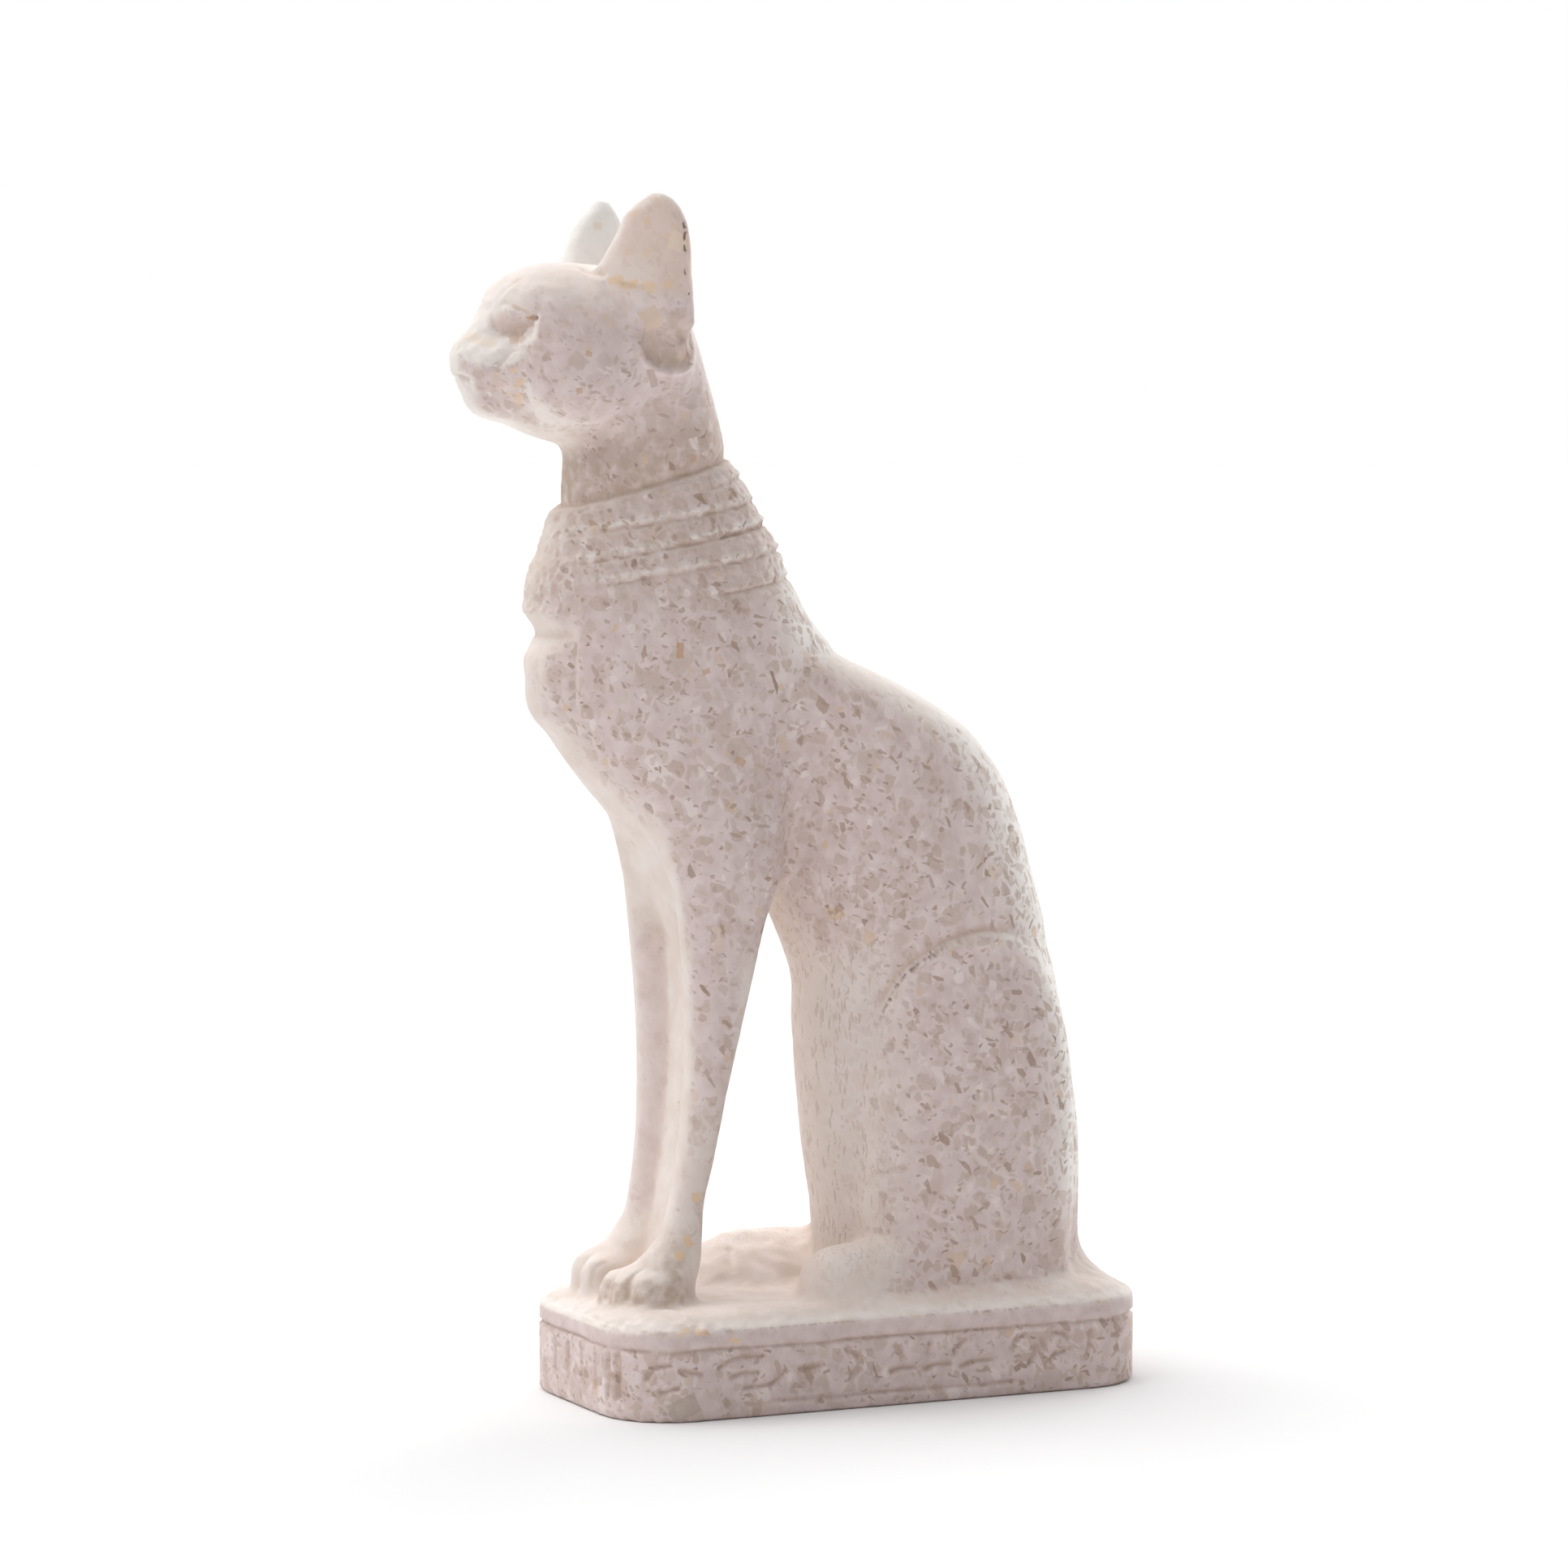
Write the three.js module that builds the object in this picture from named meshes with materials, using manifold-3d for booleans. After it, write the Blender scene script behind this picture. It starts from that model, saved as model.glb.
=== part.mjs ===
// A seated cat on its own low plinth, cast in one piece of pale composite stone.
// Millimetres, +Z up. The cat faces -Y and its left side is +X.
// The origin is the middle of the plinth's underside.
import * as THREE from 'three';
import { edgeTable, triTable } from 'three/addons/objects/MarchingCubes.js';
import Module from 'manifold-3d';

// Driving dimensions
const CAT_HEIGHT = 176.6;        // paws to ear tips
const PLINTH_RIM_HEIGHT = 14.9;  // underside to the top of the side walls
const PLINTH_CROWN = 1.8;        // rise of the plinth's top from its rim to the paws
const PLINTH_CORNER_RADIUS = 12;
const TOE_MARGIN = 5.3;          // plinth in front of the toes
const HAUNCH_MARGIN = 4.3;       // plinth behind the haunches
const SIDE_MARGIN = 4.3;         // plinth beside the thighs
const RIM_ROUNDING = 1.2;        // rounding of the plinth's upper edge
const FOOT_CHAMFER = 0.6;        // chamfer of the plinth's lower edge
const CROWN_INSET = 0.6;         // side walls to the start of the crowned top
const CROWN_START = 14.7;
const CROWN_REACH = 5;           // side walls to the level part of the top
const BORDER_DROP = 3.6;         // rim to the incised line all round
const BORDER_WIDTH = 1.1;
const BORDER_DEPTH = 0.5;
const FOOT_LINE_HEIGHT = 2.4;    // underside to the lower line on the two long sides
const FOOT_LINE_LENGTH = 49;
const SIGN_DEPTH = 0.5;          // sunk strokes between the lines
const SIGN_WIDTH = 1.0;
const PLAIN_SIGNS = 9;           // strokes on the plainer right side
const PLAIN_PITCH = 7;
const PLAIN_SLANT = 1.4;
const PAW_FILLET = 1.6;          // fillet between the front of the cat and the plinth
const HAUNCH_FILLET = 7.5;       // fillet behind the haunches

// The figure is drawn 176.6 units tall with its soles at zero, and scaled to the cat's height.
const DRAWN_HEIGHT = 176.6;
const UNIT = CAT_HEIGHT / DRAWN_HEIGHT;
const DRAWN_TOE = -42;
const DRAWN_HAUNCH = 43;
const DRAWN_HALF_WIDTH = 18.8;
const PAW_LEVEL = PLINTH_RIM_HEIGHT + PLINTH_CROWN;

const plinthLength = (DRAWN_HAUNCH - DRAWN_TOE) * UNIT + TOE_MARGIN + HAUNCH_MARGIN;
const plinthWidth = 2 * (DRAWN_HALF_WIDTH * UNIT + SIDE_MARGIN);
const footprintMiddle = (DRAWN_HAUNCH + DRAWN_TOE) / 2 * UNIT;
const figureShift = (TOE_MARGIN - HAUNCH_MARGIN) / 2 - footprintMiddle;

// Neck and chest: height, front, back, half width
const CHEST = [
  [58, -26.5, -21, 4],
  [62, -29.6, -17, 10],
  [67, -32.3, -13, 13.2],
  [73, -35.6, -12, 14.1],
  [79, -40.7, -10, 14.4],
  [87, -47.6, -8, 14.6],
  [95, -52.4, -6, 14.6],
  [103, -54.4, -3, 14.4],
  [111, -55.1, -7.2, 13.8],
  [117, -53.8, -9.9, 13],
  [123, -51.8, -12.9, 12],
  [129, -48.7, -16.3, 10.9],
  [135, -47.8, -20.1, 10.2],
  [141, -47.5, -22.2, 10.4],
  [149, -46, -24.7, 11],
  [157, -44.5, -28, 11],
  [161, -43, -30.5, 8],
  [164, -41, -35, 2],
];

// Belly, haunches and back, between the thighs: height, front, back, half width
const BARREL = [
  [0, -3.6, 43, 15.4],
  [12, -4, 43.1, 15.6],
  [24, -5.8, 43.1, 15.4],
  [43, -7.4, 39.9, 15.5],
  [50, -7.3, 38.4, 15.9],
  [55, -8.8, 36.9, 16.3],
  [60, -11, 36, 16.5],
  [67, -13, 34, 16.3],
  [75, -14, 31.8, 15.9],
  [83, -15, 28.4, 15.2],
  [87, -15.5, 25.4, 14.6],
  [91, -16, 21.8, 13.7],
  [95, -17, 15.6, 12.5],
  [99, -18, 8, 10.5],
  [102, -19, 1.5, 7.5],
  [104, -19.5, -3, 4],
];

// Foreleg: height, middle across, middle along, half width, half depth
const FORELEG = [
  [2, 7.2, -34.2, 3.8, 4.4],
  [9, 7.6, -31.9, 3.4, 3.7],
  [16, 8, -30.7, 3, 2.9],
  [24, 8.4, -29.2, 3.2, 3.2],
  [32, 9, -28.2, 3.6, 3.5],
  [40, 9.6, -27.2, 4, 4.2],
  [56, 10.2, -25.8, 4.5, 6.5],
  [67, 10, -25.2, 4.7, 8.4],
  [76, 9.4, -26, 4.2, 9],
  [88, 7.5, -28, 1.5, 5],
];

// Web of stone between the forelegs: height, front, back, half width
const LEG_WEB = [
  [0, -35, -29, 6],
  [14, -31.5, -28.4, 7],
  [24, -29.6, -27, 8],
  [40, -28.2, -24.8, 9],
  [56, -28.6, -22, 9.5],
  [68, -29, -20, 9],
  [76, -28, -22, 5],
];

// Ear: height, middle across, middle along, half thickness, half breadth
const EAR = [
  [144, 8.8, -35.6, 0.6, 2],
  [149, 9.4, -36.5, 3, 5.4],
  [153, 9.6, -37.3, 3.6, 6.9],
  [158, 10, -38, 3.7, 7.5],
  [164, 10.4, -38.7, 3.5, 7.5],
  [168.3, 11, -38, 2.8, 6.5],
  [172.1, 11.5, -37.4, 2.3, 5],
  [174.6, 11.6, -36.9, 1.7, 2.9],
  [176.2, 11.7, -36.7, 0.9, 1.3],
];
const EAR_TURN = 22 * Math.PI / 180;  // front edges drawn in towards the crown
const EAR_TOP = DRAWN_HEIGHT;
const CHIPPED_EAR_TOP = DRAWN_HEIGHT - 0.4;

// Rounded masses: middle, then half sizes
const SKULL = [0, -45, 151.4, 13, 16.8, 14];
const BROW = [0, -52, 157.8, 8.8, 9.4, 6.8];
const CHEEK = [7, -49, 147.8, 6.4, 9.5, 7.3];
const MUZZLE = [0, -57.8, 149, 7.2, 8.8, 6.4];
const CHIN = [0, -57, 144.6, 5.4, 8.2, 4.2];
const JAW = [0, -49.4, 142.7, 6.4, 7.8, 4.5];
const PENDANT = [0, -46.4, 98, 8, 8, 7.8];
const THIGH = [6.5, 18.9, 22, 12.3, 19.3, 38];
const THIGH_FULLNESS = 2.6;
const INSTEP = { heel: [7.6, -33, 6.4], ball: [7, -38, 2.8], radius: 3.8 };
const FORE_PAW = [7.1, -36.4, 0, 5.4, 6.2, 6];
const FORE_TOES = [
  [3.9, -39.5, 0.4, 2.3, 4.4, 5],
  [8.3, -39.4, 0.4, 2.4, 4.3, 5.2],
  [11, -37, 0.4, 2.2, 4.6, 5],
];
const RIGHT_FORE_PAW_RISE = 1;
const LEFT_HIND_PAW = [12.8, 0.6, 0, 5.7, 13.2, 8.4];
const RIGHT_HIND_PAW = [-9.4, -6.2, 0, 9.2, 16.6, 6];
const RIGHT_PAW_TILT = 0.4;      // its top falls towards the cat's middle
const TOE_FULLNESS = 3;
const PAW_FULLNESS = 2.4;
const EYE_HOLLOW = [8.6, -61, 155, 3.6, 4.4, 2.4];

const NOSE_BRIDGE = { top: [0, -55.6, 159], tip: [0, -63.4, 151.2], radius: 3.5 };
const TAIL = [
  [-3, 41, 4.4],
  [-14, 36.5, 4],
  [-18.4, 26, 3.6],
  [-19, 10, 3.4],
  [-17.4, -4, 3.2],
  [-14.6, -12, 3],
];
const TAIL_RADIUS = 3.2;

// Grooves of the broad collar: height at COLLAR_MIDDLE, climb towards the back
const COLLAR_MIDDLE = -35;
const COLLAR_GROOVES = [[131, 0.25], [124.8, 0.1], [121.8, 0.1], [114.4, 0.12]];
const GROOVE_HALF_WIDTH = 0.95;
const GROOVE_DEPTH = 0.7;
const COLLAR_EDGE = { height: 107, halfHeight: 3.2, halfWidth: 9, depth: 2.2 };

// Strokes on the left side, front to back along the wall: lengths from its middle, and heights
const LEFT_SIGNS = [
  [[-31.6, 8.4], [-28.6, 9.9], [-23.8, 9.9]],
  [[-29.4, 6.8], [-25, 7.2]],
  [[-27, 4.9], [-22.6, 5.2], [-20, 7]],
  [[-17.4, 7.2], [-13.8, 7.6]],
  [[-9.4, 9.9], [-6.8, 8], [-8.4, 5]],
  [[-1.4, 5.6], [2.6, 6.2]],
  [[4.8, 5.6], [9, 6.2]],
  [[11.4, 5.6], [16.6, 6.2]],
  [[0.4, 8.2], [-0.6, 9.9]],
  [[5.2, 8.2], [5.6, 9.9]],
  [[10, 8.2], [11.8, 9.9]],
  [[20.6, 7.8], [22.4, 9.9]],
  [[23.6, 5], [24.6, 7.6]],
  [[28, 9.9], [30.6, 8.6]],
  [[27.4, 5.4], [30, 6.6]],
  [[34.8, 9.8], [34, 5.4]],
];
const FRONT_SIGNS = [-7, -1.5, 4, 9.5];

// Blends between the masses
const SOFT = 5;
const MEDIUM = 2.5;
const CRISP = 1.2;

const CELL = 1.12;
const MARGIN_CELLS = 3;
const FIGURE_TRIANGLES = 7900;
const MUZZLE_REACH = -70;
const ARC_STEPS = 6;
const RIM_STEPS = 3;
const TINY = 1e-9;

// Value of every column of a table of sections at one height, on a smooth curve
function sectionAt(rows, z) {
  const last = rows.length - 1;
  if (z <= rows[0][0]) return rows[0];
  if (z >= rows[last][0]) return rows[last];
  let i = 0;
  while (rows[i + 1][0] < z) i++;
  const low = rows[i];
  const high = rows[i + 1];
  const before = rows[Math.max(i - 1, 0)];
  const after = rows[Math.min(i + 2, last)];
  const span = high[0] - low[0];
  const t = (z - low[0]) / span;
  return low.map((value, column) => {
    const startSlope = (high[column] - before[column]) / (high[0] - before[0]) * span;
    const endSlope = (after[column] - value) / (after[0] - low[0]) * span;
    const rise = high[column] - value;
    return value + t * (startSlope + t * (3 * rise - 2 * startSlope - endSlope
      + t * (startSlope + endSlope - 2 * rise)));
  });
}

function blendUnion(a, b, reach) {
  const share = Math.max(reach - Math.abs(a - b), 0) / reach;
  return Math.min(a, b) - share * share * reach / 4;
}

function blendCut(body, tool, reach) {
  return -blendUnion(-body, tool, reach);
}

// Distance to an ellipse with half sizes a and b around the origin
function ellipseDistance(x, y, a, b) {
  const radial = Math.hypot(x / a, y / b);
  const slope = Math.hypot(x / (a * a), y / (b * b));
  if (slope < TINY) return -Math.min(a, b);
  return radial * (radial - 1) / slope;
}

function ellipsoidDistance(x, y, z, [cx, cy, cz, a, b, c]) {
  const dx = x - cx;
  const dy = y - cy;
  const dz = z - cz;
  const radial = Math.hypot(dx / a, dy / b, dz / c);
  const slope = Math.hypot(dx / (a * a), dy / (b * b), dz / (c * c));
  if (slope < TINY) return -Math.min(a, b, c);
  return radial * (radial - 1) / slope;
}

// Distance to an ellipsoid swollen towards its box: fullness 2 is the plain one
function fullDistance(x, y, z, [cx, cy, cz, a, b, c], fullness) {
  const shares = [Math.abs(x - cx) / a, Math.abs(y - cy) / b, Math.abs(z - cz) / c];
  const radial = shares.reduce((sum, share) => sum + share ** fullness, TINY) ** (1 / fullness);
  const slopes = shares.map((share, axis) => (share / radial) ** (fullness - 1) / [a, b, c][axis]);
  return (radial - 1) / Math.hypot(...slopes);
}

function capsuleDistance(x, y, z, start, end, radius) {
  const along = [end[0] - start[0], end[1] - start[1], end[2] - start[2]];
  const from = [x - start[0], y - start[1], z - start[2]];
  const length2 = along[0] ** 2 + along[1] ** 2 + along[2] ** 2;
  const dot = along[0] * from[0] + along[1] * from[1] + along[2] * from[2];
  const t = Math.min(Math.max(dot / length2, 0), 1);
  return Math.hypot(from[0] - t * along[0], from[1] - t * along[1], from[2] - t * along[2]) - radius;
}

// Distance to a level section given by its front, back and half width
function spanDistance(x, y, [, front, back, half]) {
  return ellipseDistance(x, y - (front + back) / 2, half, (back - front) / 2);
}

// Distance to a level section given by its middle and half sizes
function limbDistance(x, y, [, cx, cy, a, b], turn = 0) {
  const across = (x - cx) * Math.cos(turn) - (y - cy) * Math.sin(turn);
  const along = (x - cx) * Math.sin(turn) + (y - cy) * Math.cos(turn);
  return ellipseDistance(across, along, a, b);
}

function grooveDepth(x, y, z) {
  let depth = 0;
  for (const [height, climb] of COLLAR_GROOVES) {
    const off = (z - height - climb * (y - COLLAR_MIDDLE)) / GROOVE_HALF_WIDTH;
    depth = Math.max(depth, GROOVE_DEPTH * (1 - off * off));
  }
  const { height, halfHeight, halfWidth, depth: edgeDepth } = COLLAR_EDGE;
  const off = Math.hypot((z - height) / halfHeight, x / halfWidth);
  if (y < COLLAR_MIDDLE) depth = Math.max(depth, edgeDepth * (1 - off * off));
  return depth;
}

// All sections that depend on the height alone, worked out once for each level
function levelSections(z) {
  return {
    chest: sectionAt(CHEST, z),
    barrel: sectionAt(BARREL, z),
    foreleg: sectionAt(FORELEG, z),
    web: sectionAt(LEG_WEB, z),
    ear: sectionAt(EAR, z),
  };
}

function chestDistance(x, y, z, level) {
  const carved = spanDistance(x, y, level.chest) + grooveDepth(x, y, z);
  const low = Math.max(carved, CHEST[0][0] - z);
  const capped = Math.max(low, z - CHEST[CHEST.length - 1][0]);
  return blendUnion(capped, ellipsoidDistance(x, y, z, PENDANT), CRISP);
}

function legsDistance(x, y, z, level) {
  const side = Math.abs(x);
  const leg = Math.max(limbDistance(side, y, level.foreleg), z - FORELEG[FORELEG.length - 1][0]);
  const web = Math.max(spanDistance(x, y, level.web), z - LEG_WEB[LEG_WEB.length - 1][0]);
  const low = x < 0 ? z - RIGHT_FORE_PAW_RISE : z;
  let paw = fullDistance(side, y, low, FORE_PAW, TOE_FULLNESS);
  for (const toe of FORE_TOES) paw = blendUnion(paw, fullDistance(side, y, low, toe, TOE_FULLNESS), CRISP / 2);
  const instep = capsuleDistance(side, y, low, INSTEP.heel, INSTEP.ball, INSTEP.radius);
  return blendUnion(blendUnion(leg, blendUnion(paw, instep, CRISP), MEDIUM), web, CRISP);
}

function haunchDistance(x, y, z, level) {
  const barrel = Math.max(spanDistance(x, y, level.barrel), z - BARREL[BARREL.length - 1][0]);
  let haunch = blendUnion(barrel, fullDistance(Math.abs(x), y, z, THIGH, THIGH_FULLNESS), CRISP);
  haunch = blendUnion(haunch, fullDistance(x, y, z, LEFT_HIND_PAW, TOE_FULLNESS), MEDIUM);
  const tilted = z + RIGHT_PAW_TILT * (x - RIGHT_HIND_PAW[0]);
  haunch = blendUnion(haunch, fullDistance(x, y, tilted, RIGHT_HIND_PAW, PAW_FULLNESS), MEDIUM);
  let tail = Infinity;
  for (let i = 1; i < TAIL.length; i++) {
    tail = Math.min(tail, capsuleDistance(x, y, z, TAIL[i - 1], TAIL[i], TAIL_RADIUS));
  }
  return blendUnion(haunch, tail, CRISP);
}

function headDistance(x, y, z, level) {
  const side = Math.abs(x);
  let head = blendUnion(ellipsoidDistance(x, y, z, SKULL), ellipsoidDistance(x, y, z, BROW), SOFT);
  head = blendUnion(head, ellipsoidDistance(side, y, z, CHEEK), MEDIUM);
  const lips = blendUnion(ellipsoidDistance(x, y, z, MUZZLE), ellipsoidDistance(x, y, z, CHIN), CRISP);
  head = blendUnion(head, lips, MEDIUM);
  head = blendUnion(head, ellipsoidDistance(x, y, z, JAW), MEDIUM);
  const bridge = capsuleDistance(x, y, z, NOSE_BRIDGE.top, NOSE_BRIDGE.tip, NOSE_BRIDGE.radius);
  head = blendUnion(head, bridge, MEDIUM);
  head = blendCut(head, ellipsoidDistance(side, y, z, EYE_HOLLOW), CRISP);
  const earTop = x > 0 ? EAR_TOP : CHIPPED_EAR_TOP;
  const ear = Math.max(limbDistance(side, y, level.ear, EAR_TURN), z - earTop, EAR[0][0] - z);
  return blendUnion(head, ear, MEDIUM);
}

function figureDistance(x, y, z, level) {
  let body = blendUnion(chestDistance(x, y, z, level), legsDistance(x, y, z, level), SOFT);
  body = blendUnion(body, haunchDistance(x, y, z, level), SOFT);
  return blendUnion(body, headDistance(x, y, z, level), MEDIUM);
}

// Signed distance to a rectangle with round corners
function roundedRectangle(x, y, halfX, halfY, radius) {
  const dx = Math.abs(x) - halfX + radius;
  const dy = Math.abs(y) - halfY + radius;
  return Math.hypot(Math.max(dx, 0), Math.max(dy, 0)) + Math.min(Math.max(dx, dy), 0) - radius;
}

// The plinth's gently crowned top, kept a little inside its rim
function crownDistance(x, y, z) {
  const inset = -roundedRectangle(x, y, plinthWidth / 2, plinthLength / 2, PLINTH_CORNER_RADIUS);
  const share = Math.min(Math.max((inset - CROWN_INSET) / (CROWN_REACH - CROWN_INSET), 0), 1);
  const top = CROWN_START + (PAW_LEVEL - CROWN_START) * (1 - (1 - share) ** 2);
  return Math.max(z - top, CROWN_INSET - inset);
}

function stoneDistance(x, y, z, level) {
  const along = (y - figureShift) / UNIT;
  const figure = figureDistance(x / UNIT, along, (z - PAW_LEVEL) / UNIT, level) * UNIT;
  const behind = Math.min(Math.max(along / DRAWN_HAUNCH, 0), 1) ** 2;
  return blendUnion(figure, crownDistance(x, y, z), PAW_FILLET + (HAUNCH_FILLET - PAW_FILLET) * behind);
}

// Samples the stone on a cubic grid and returns its surface as points and triangles
function skin(distance, low, high, cell) {
  const count = low.map((value, axis) => Math.ceil((high[axis] - value) / cell) + 1);
  const [nx, ny, nz] = count;
  const values = new Float32Array(nx * ny * nz);
  for (let k = 0; k < nz; k++) {
    const z = low[2] + k * cell;
    const level = levelSections((z - PAW_LEVEL) / UNIT);
    for (let j = 0; j < ny; j++) {
      for (let i = 0; i < nx; i++) {
        const edge = i === 0 || j === 0 || k === 0 || i === nx - 1 || j === ny - 1 || k === nz - 1;
        const value = edge ? cell : distance(low[0] + i * cell, low[1] + j * cell, z, level);
        values[(k * ny + j) * nx + i] = value === 0 ? TINY : value;
      }
    }
  }
  const square = [[0, 0], [1, 0], [1, 1], [0, 1]];
  const corners = [0, 1].flatMap((up) => square.map(([across, along]) => [across, along, up]));
  const turn = [0, 1, 2, 3];
  const lowEdges = turn.map((n) => [n, (n + 1) % 4]);
  const highEdges = lowEdges.map(([a, b]) => [a + 4, b + 4]);
  const edges = [...lowEdges, ...highEdges, ...turn.map((n) => [n, n + 4])];
  const nearest = 0.03;
  const points = [];
  const faces = [];
  const known = new Map();
  const pointOn = (i, j, k, edge) => {
    const ends = edges[edge].map((corner) => {
      const [di, dj, dk] = corners[corner];
      return ((k + dk) * ny + j + dj) * nx + i + di;
    }).sort((a, b) => a - b);
    const key = ends[0] * 4 + (ends[1] - ends[0] === 1 ? 0 : ends[1] - ends[0] === nx ? 1 : 2);
    if (known.has(key)) return known.get(key);
    const [a, b] = ends;
    const raw = values[a] / (values[a] - values[b]);
    const t = Math.min(Math.max(raw, nearest), 1 - nearest);
    const place = (n) => [n % nx, Math.floor(n / nx) % ny, Math.floor(n / (nx * ny))];
    const start = place(a);
    const end = place(b);
    points.push(start.map((value, axis) => low[axis] + (value + t * (end[axis] - value)) * cell));
    known.set(key, points.length - 1);
    return points.length - 1;
  };
  for (let k = 0; k < nz - 1; k++) {
    for (let j = 0; j < ny - 1; j++) {
      for (let i = 0; i < nx - 1; i++) {
        let code = 0;
        corners.forEach(([di, dj, dk], bit) => {
          if (values[((k + dk) * ny + j + dj) * nx + i + di] < 0) code |= 1 << bit;
        });
        if (edgeTable[code] === 0) continue;
        for (let t = code * 16; triTable[t] !== -1; t += 3) {
          const [a, b, c] = [0, 1, 2].map((corner) => pointOn(i, j, k, triTable[t + corner]));
          faces.push([a, c, b]);
        }
      }
    }
  }
  return { points, faces };
}

// Merges the flattest edges of a closed surface until it has the wanted number of triangles
function simplify({ points, faces }, wanted) {
  const subtract = (a, b) => [a[0] - b[0], a[1] - b[1], a[2] - b[2]];
  const cross = (a, b) => [a[1] * b[2] - a[2] * b[1], a[2] * b[0] - a[0] * b[2], a[0] * b[1] - a[1] * b[0]];
  const dot = (a, b) => a[0] * b[0] + a[1] * b[1] + a[2] * b[2];
  const normalOf = (a, b, c) => cross(subtract(b, a), subtract(c, a));
  const around = points.map(() => new Set());
  const quadric = points.map(() => new Float64Array(10));
  faces.forEach((face, index) => {
    const [a, b, c] = face.map((n) => points[n]);
    const normal = normalOf(a, b, c);
    const size = Math.hypot(...normal);
    for (const n of face) around[n].add(index);
    if (size < TINY) return;
    const [p, q, r] = normal.map((value) => value / size);
    const s = -(p * a[0] + q * a[1] + r * a[2]);
    const plane = [p * p, p * q, p * r, p * s, q * q, q * r, q * s, r * r, r * s, s * s];
    for (const n of face) plane.forEach((value, m) => { quadric[n][m] += value * size; });
  });
  const errorAt = (m, [x, y, z]) => m[0] * x * x + 2 * m[1] * x * y + 2 * m[2] * x * z + 2 * m[3] * x
    + m[4] * y * y + 2 * m[5] * y * z + 2 * m[6] * y + m[7] * z * z + 2 * m[8] * z + m[9];
  const neighbours = (n) => {
    const found = new Set();
    for (const index of around[n]) for (const other of faces[index]) if (other !== n) found.add(other);
    return found;
  };
  // The merged point sits where the planes around both ends meet best
  const plan = (a, b) => {
    const m = quadric[a].map((value, i) => value + quadric[b][i]);
    const middle = points[a].map((value, i) => (value + points[b][i]) / 2);
    const choices = [points[a], points[b], middle];
    const c1 = [m[0], m[1], m[2]];
    const c2 = [m[1], m[4], m[5]];
    const c3 = [m[2], m[5], m[7]];
    const volume = dot(c1, cross(c2, c3));
    if (Math.abs(volume) > 1e-4 * (m[0] + m[4] + m[7]) ** 3) {
      const right = [-m[3], -m[6], -m[8]];
      choices.unshift([dot(right, cross(c2, c3)) / volume, dot(c1, cross(right, c3)) / volume,
        dot(c1, cross(c2, right)) / volume]);
    }
    const length = Math.hypot(...subtract(points[a], points[b]));
    let best = null;
    for (const place of choices) {
      if (Math.hypot(...subtract(place, middle)) > 1.5 * length) continue;
      const cost = errorAt(m, place) + 1e-5 * length * length;
      if (!best || cost < best.cost) best = { cost, place };
    }
    return { a, b, cost: best.cost, place: best.place };
  };
  const heap = [];
  const leastAgreement = 0.25;
  const push = (item) => {
    let at = heap.push(item) - 1;
    while (at > 0) {
      const parent = (at - 1) >> 1;
      if (heap[parent].cost <= item.cost) break;
      heap[at] = heap[parent];
      at = parent;
    }
    heap[at] = item;
  };
  const pop = () => {
    const top = heap[0];
    const item = heap.pop();
    if (heap.length === 0) return top;
    let at = 0;
    for (;;) {
      let child = 2 * at + 1;
      if (child >= heap.length) break;
      if (child + 1 < heap.length && heap[child + 1].cost < heap[child].cost) child++;
      if (heap[child].cost >= item.cost) break;
      heap[at] = heap[child];
      at = child;
    }
    heap[at] = item;
    return top;
  };
  const stamp = points.map(() => 0);
  const queue = (a, b) => push({ ...plan(a, b), stamps: stamp[a] + stamp[b] });
  points.forEach((point, a) => { for (const b of neighbours(a)) if (a < b) queue(a, b); });
  const turnsOver = (moved, gone, place) => {
    for (const index of around[moved]) {
      const face = faces[index];
      if (face.includes(gone)) continue;
      const before = normalOf(...face.map((n) => points[n]));
      const after = normalOf(...face.map((n) => (n === moved ? place : points[n])));
      const most = Math.hypot(...before) * Math.hypot(...after);
      if (dot(before, after) < leastAgreement * most) return true;
    }
    return false;
  };
  let left = faces.length;
  while (left > wanted && heap.length > 0) {
    const { a, b, place, stamps } = pop();
    if (!around[a] || !around[b] || stamps !== stamp[a] + stamp[b]) continue;
    const near = neighbours(a);
    if (!near.has(b)) continue;
    const shared = [...neighbours(b)].filter((n) => near.has(n));
    if (shared.length !== 2 || turnsOver(a, b, place) || turnsOver(b, a, place)) continue;
    for (const index of around[b]) {
      const face = faces[index];
      if (face.includes(a)) {
        for (const n of face) if (n !== b) around[n].delete(index);
        faces[index] = null;
        left--;
      } else {
        faces[index] = face.map((n) => (n === b ? a : n));
        around[a].add(index);
      }
    }
    around[b] = null;
    points[a] = place;
    quadric[a] = quadric[a].map((value, i) => value + quadric[b][i]);
    stamp[a] += stamp[b] + 1;
    for (const n of neighbours(a)) queue(a, n);
  }
  return { points, faces: faces.filter(Boolean) };
}

// One level ring around a rectangle with round corners, drawn in by an inset
function rectangleRing(halfX, halfY, radius, inset, z, arcSteps) {
  const ring = [];
  const r = Math.max(radius - inset, 0.2);
  [[1, 1], [-1, 1], [-1, -1], [1, -1]].forEach(([sx, sy], corner) => {
    for (let i = 0; i <= arcSteps; i++) {
      const angle = (corner + i / arcSteps) * Math.PI / 2;
      const x = sx * (halfX - inset - r) + r * Math.cos(angle);
      const y = sy * (halfY - inset - r) + r * Math.sin(angle);
      ring.push([x, y, z]);
    }
  });
  return ring;
}

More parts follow.
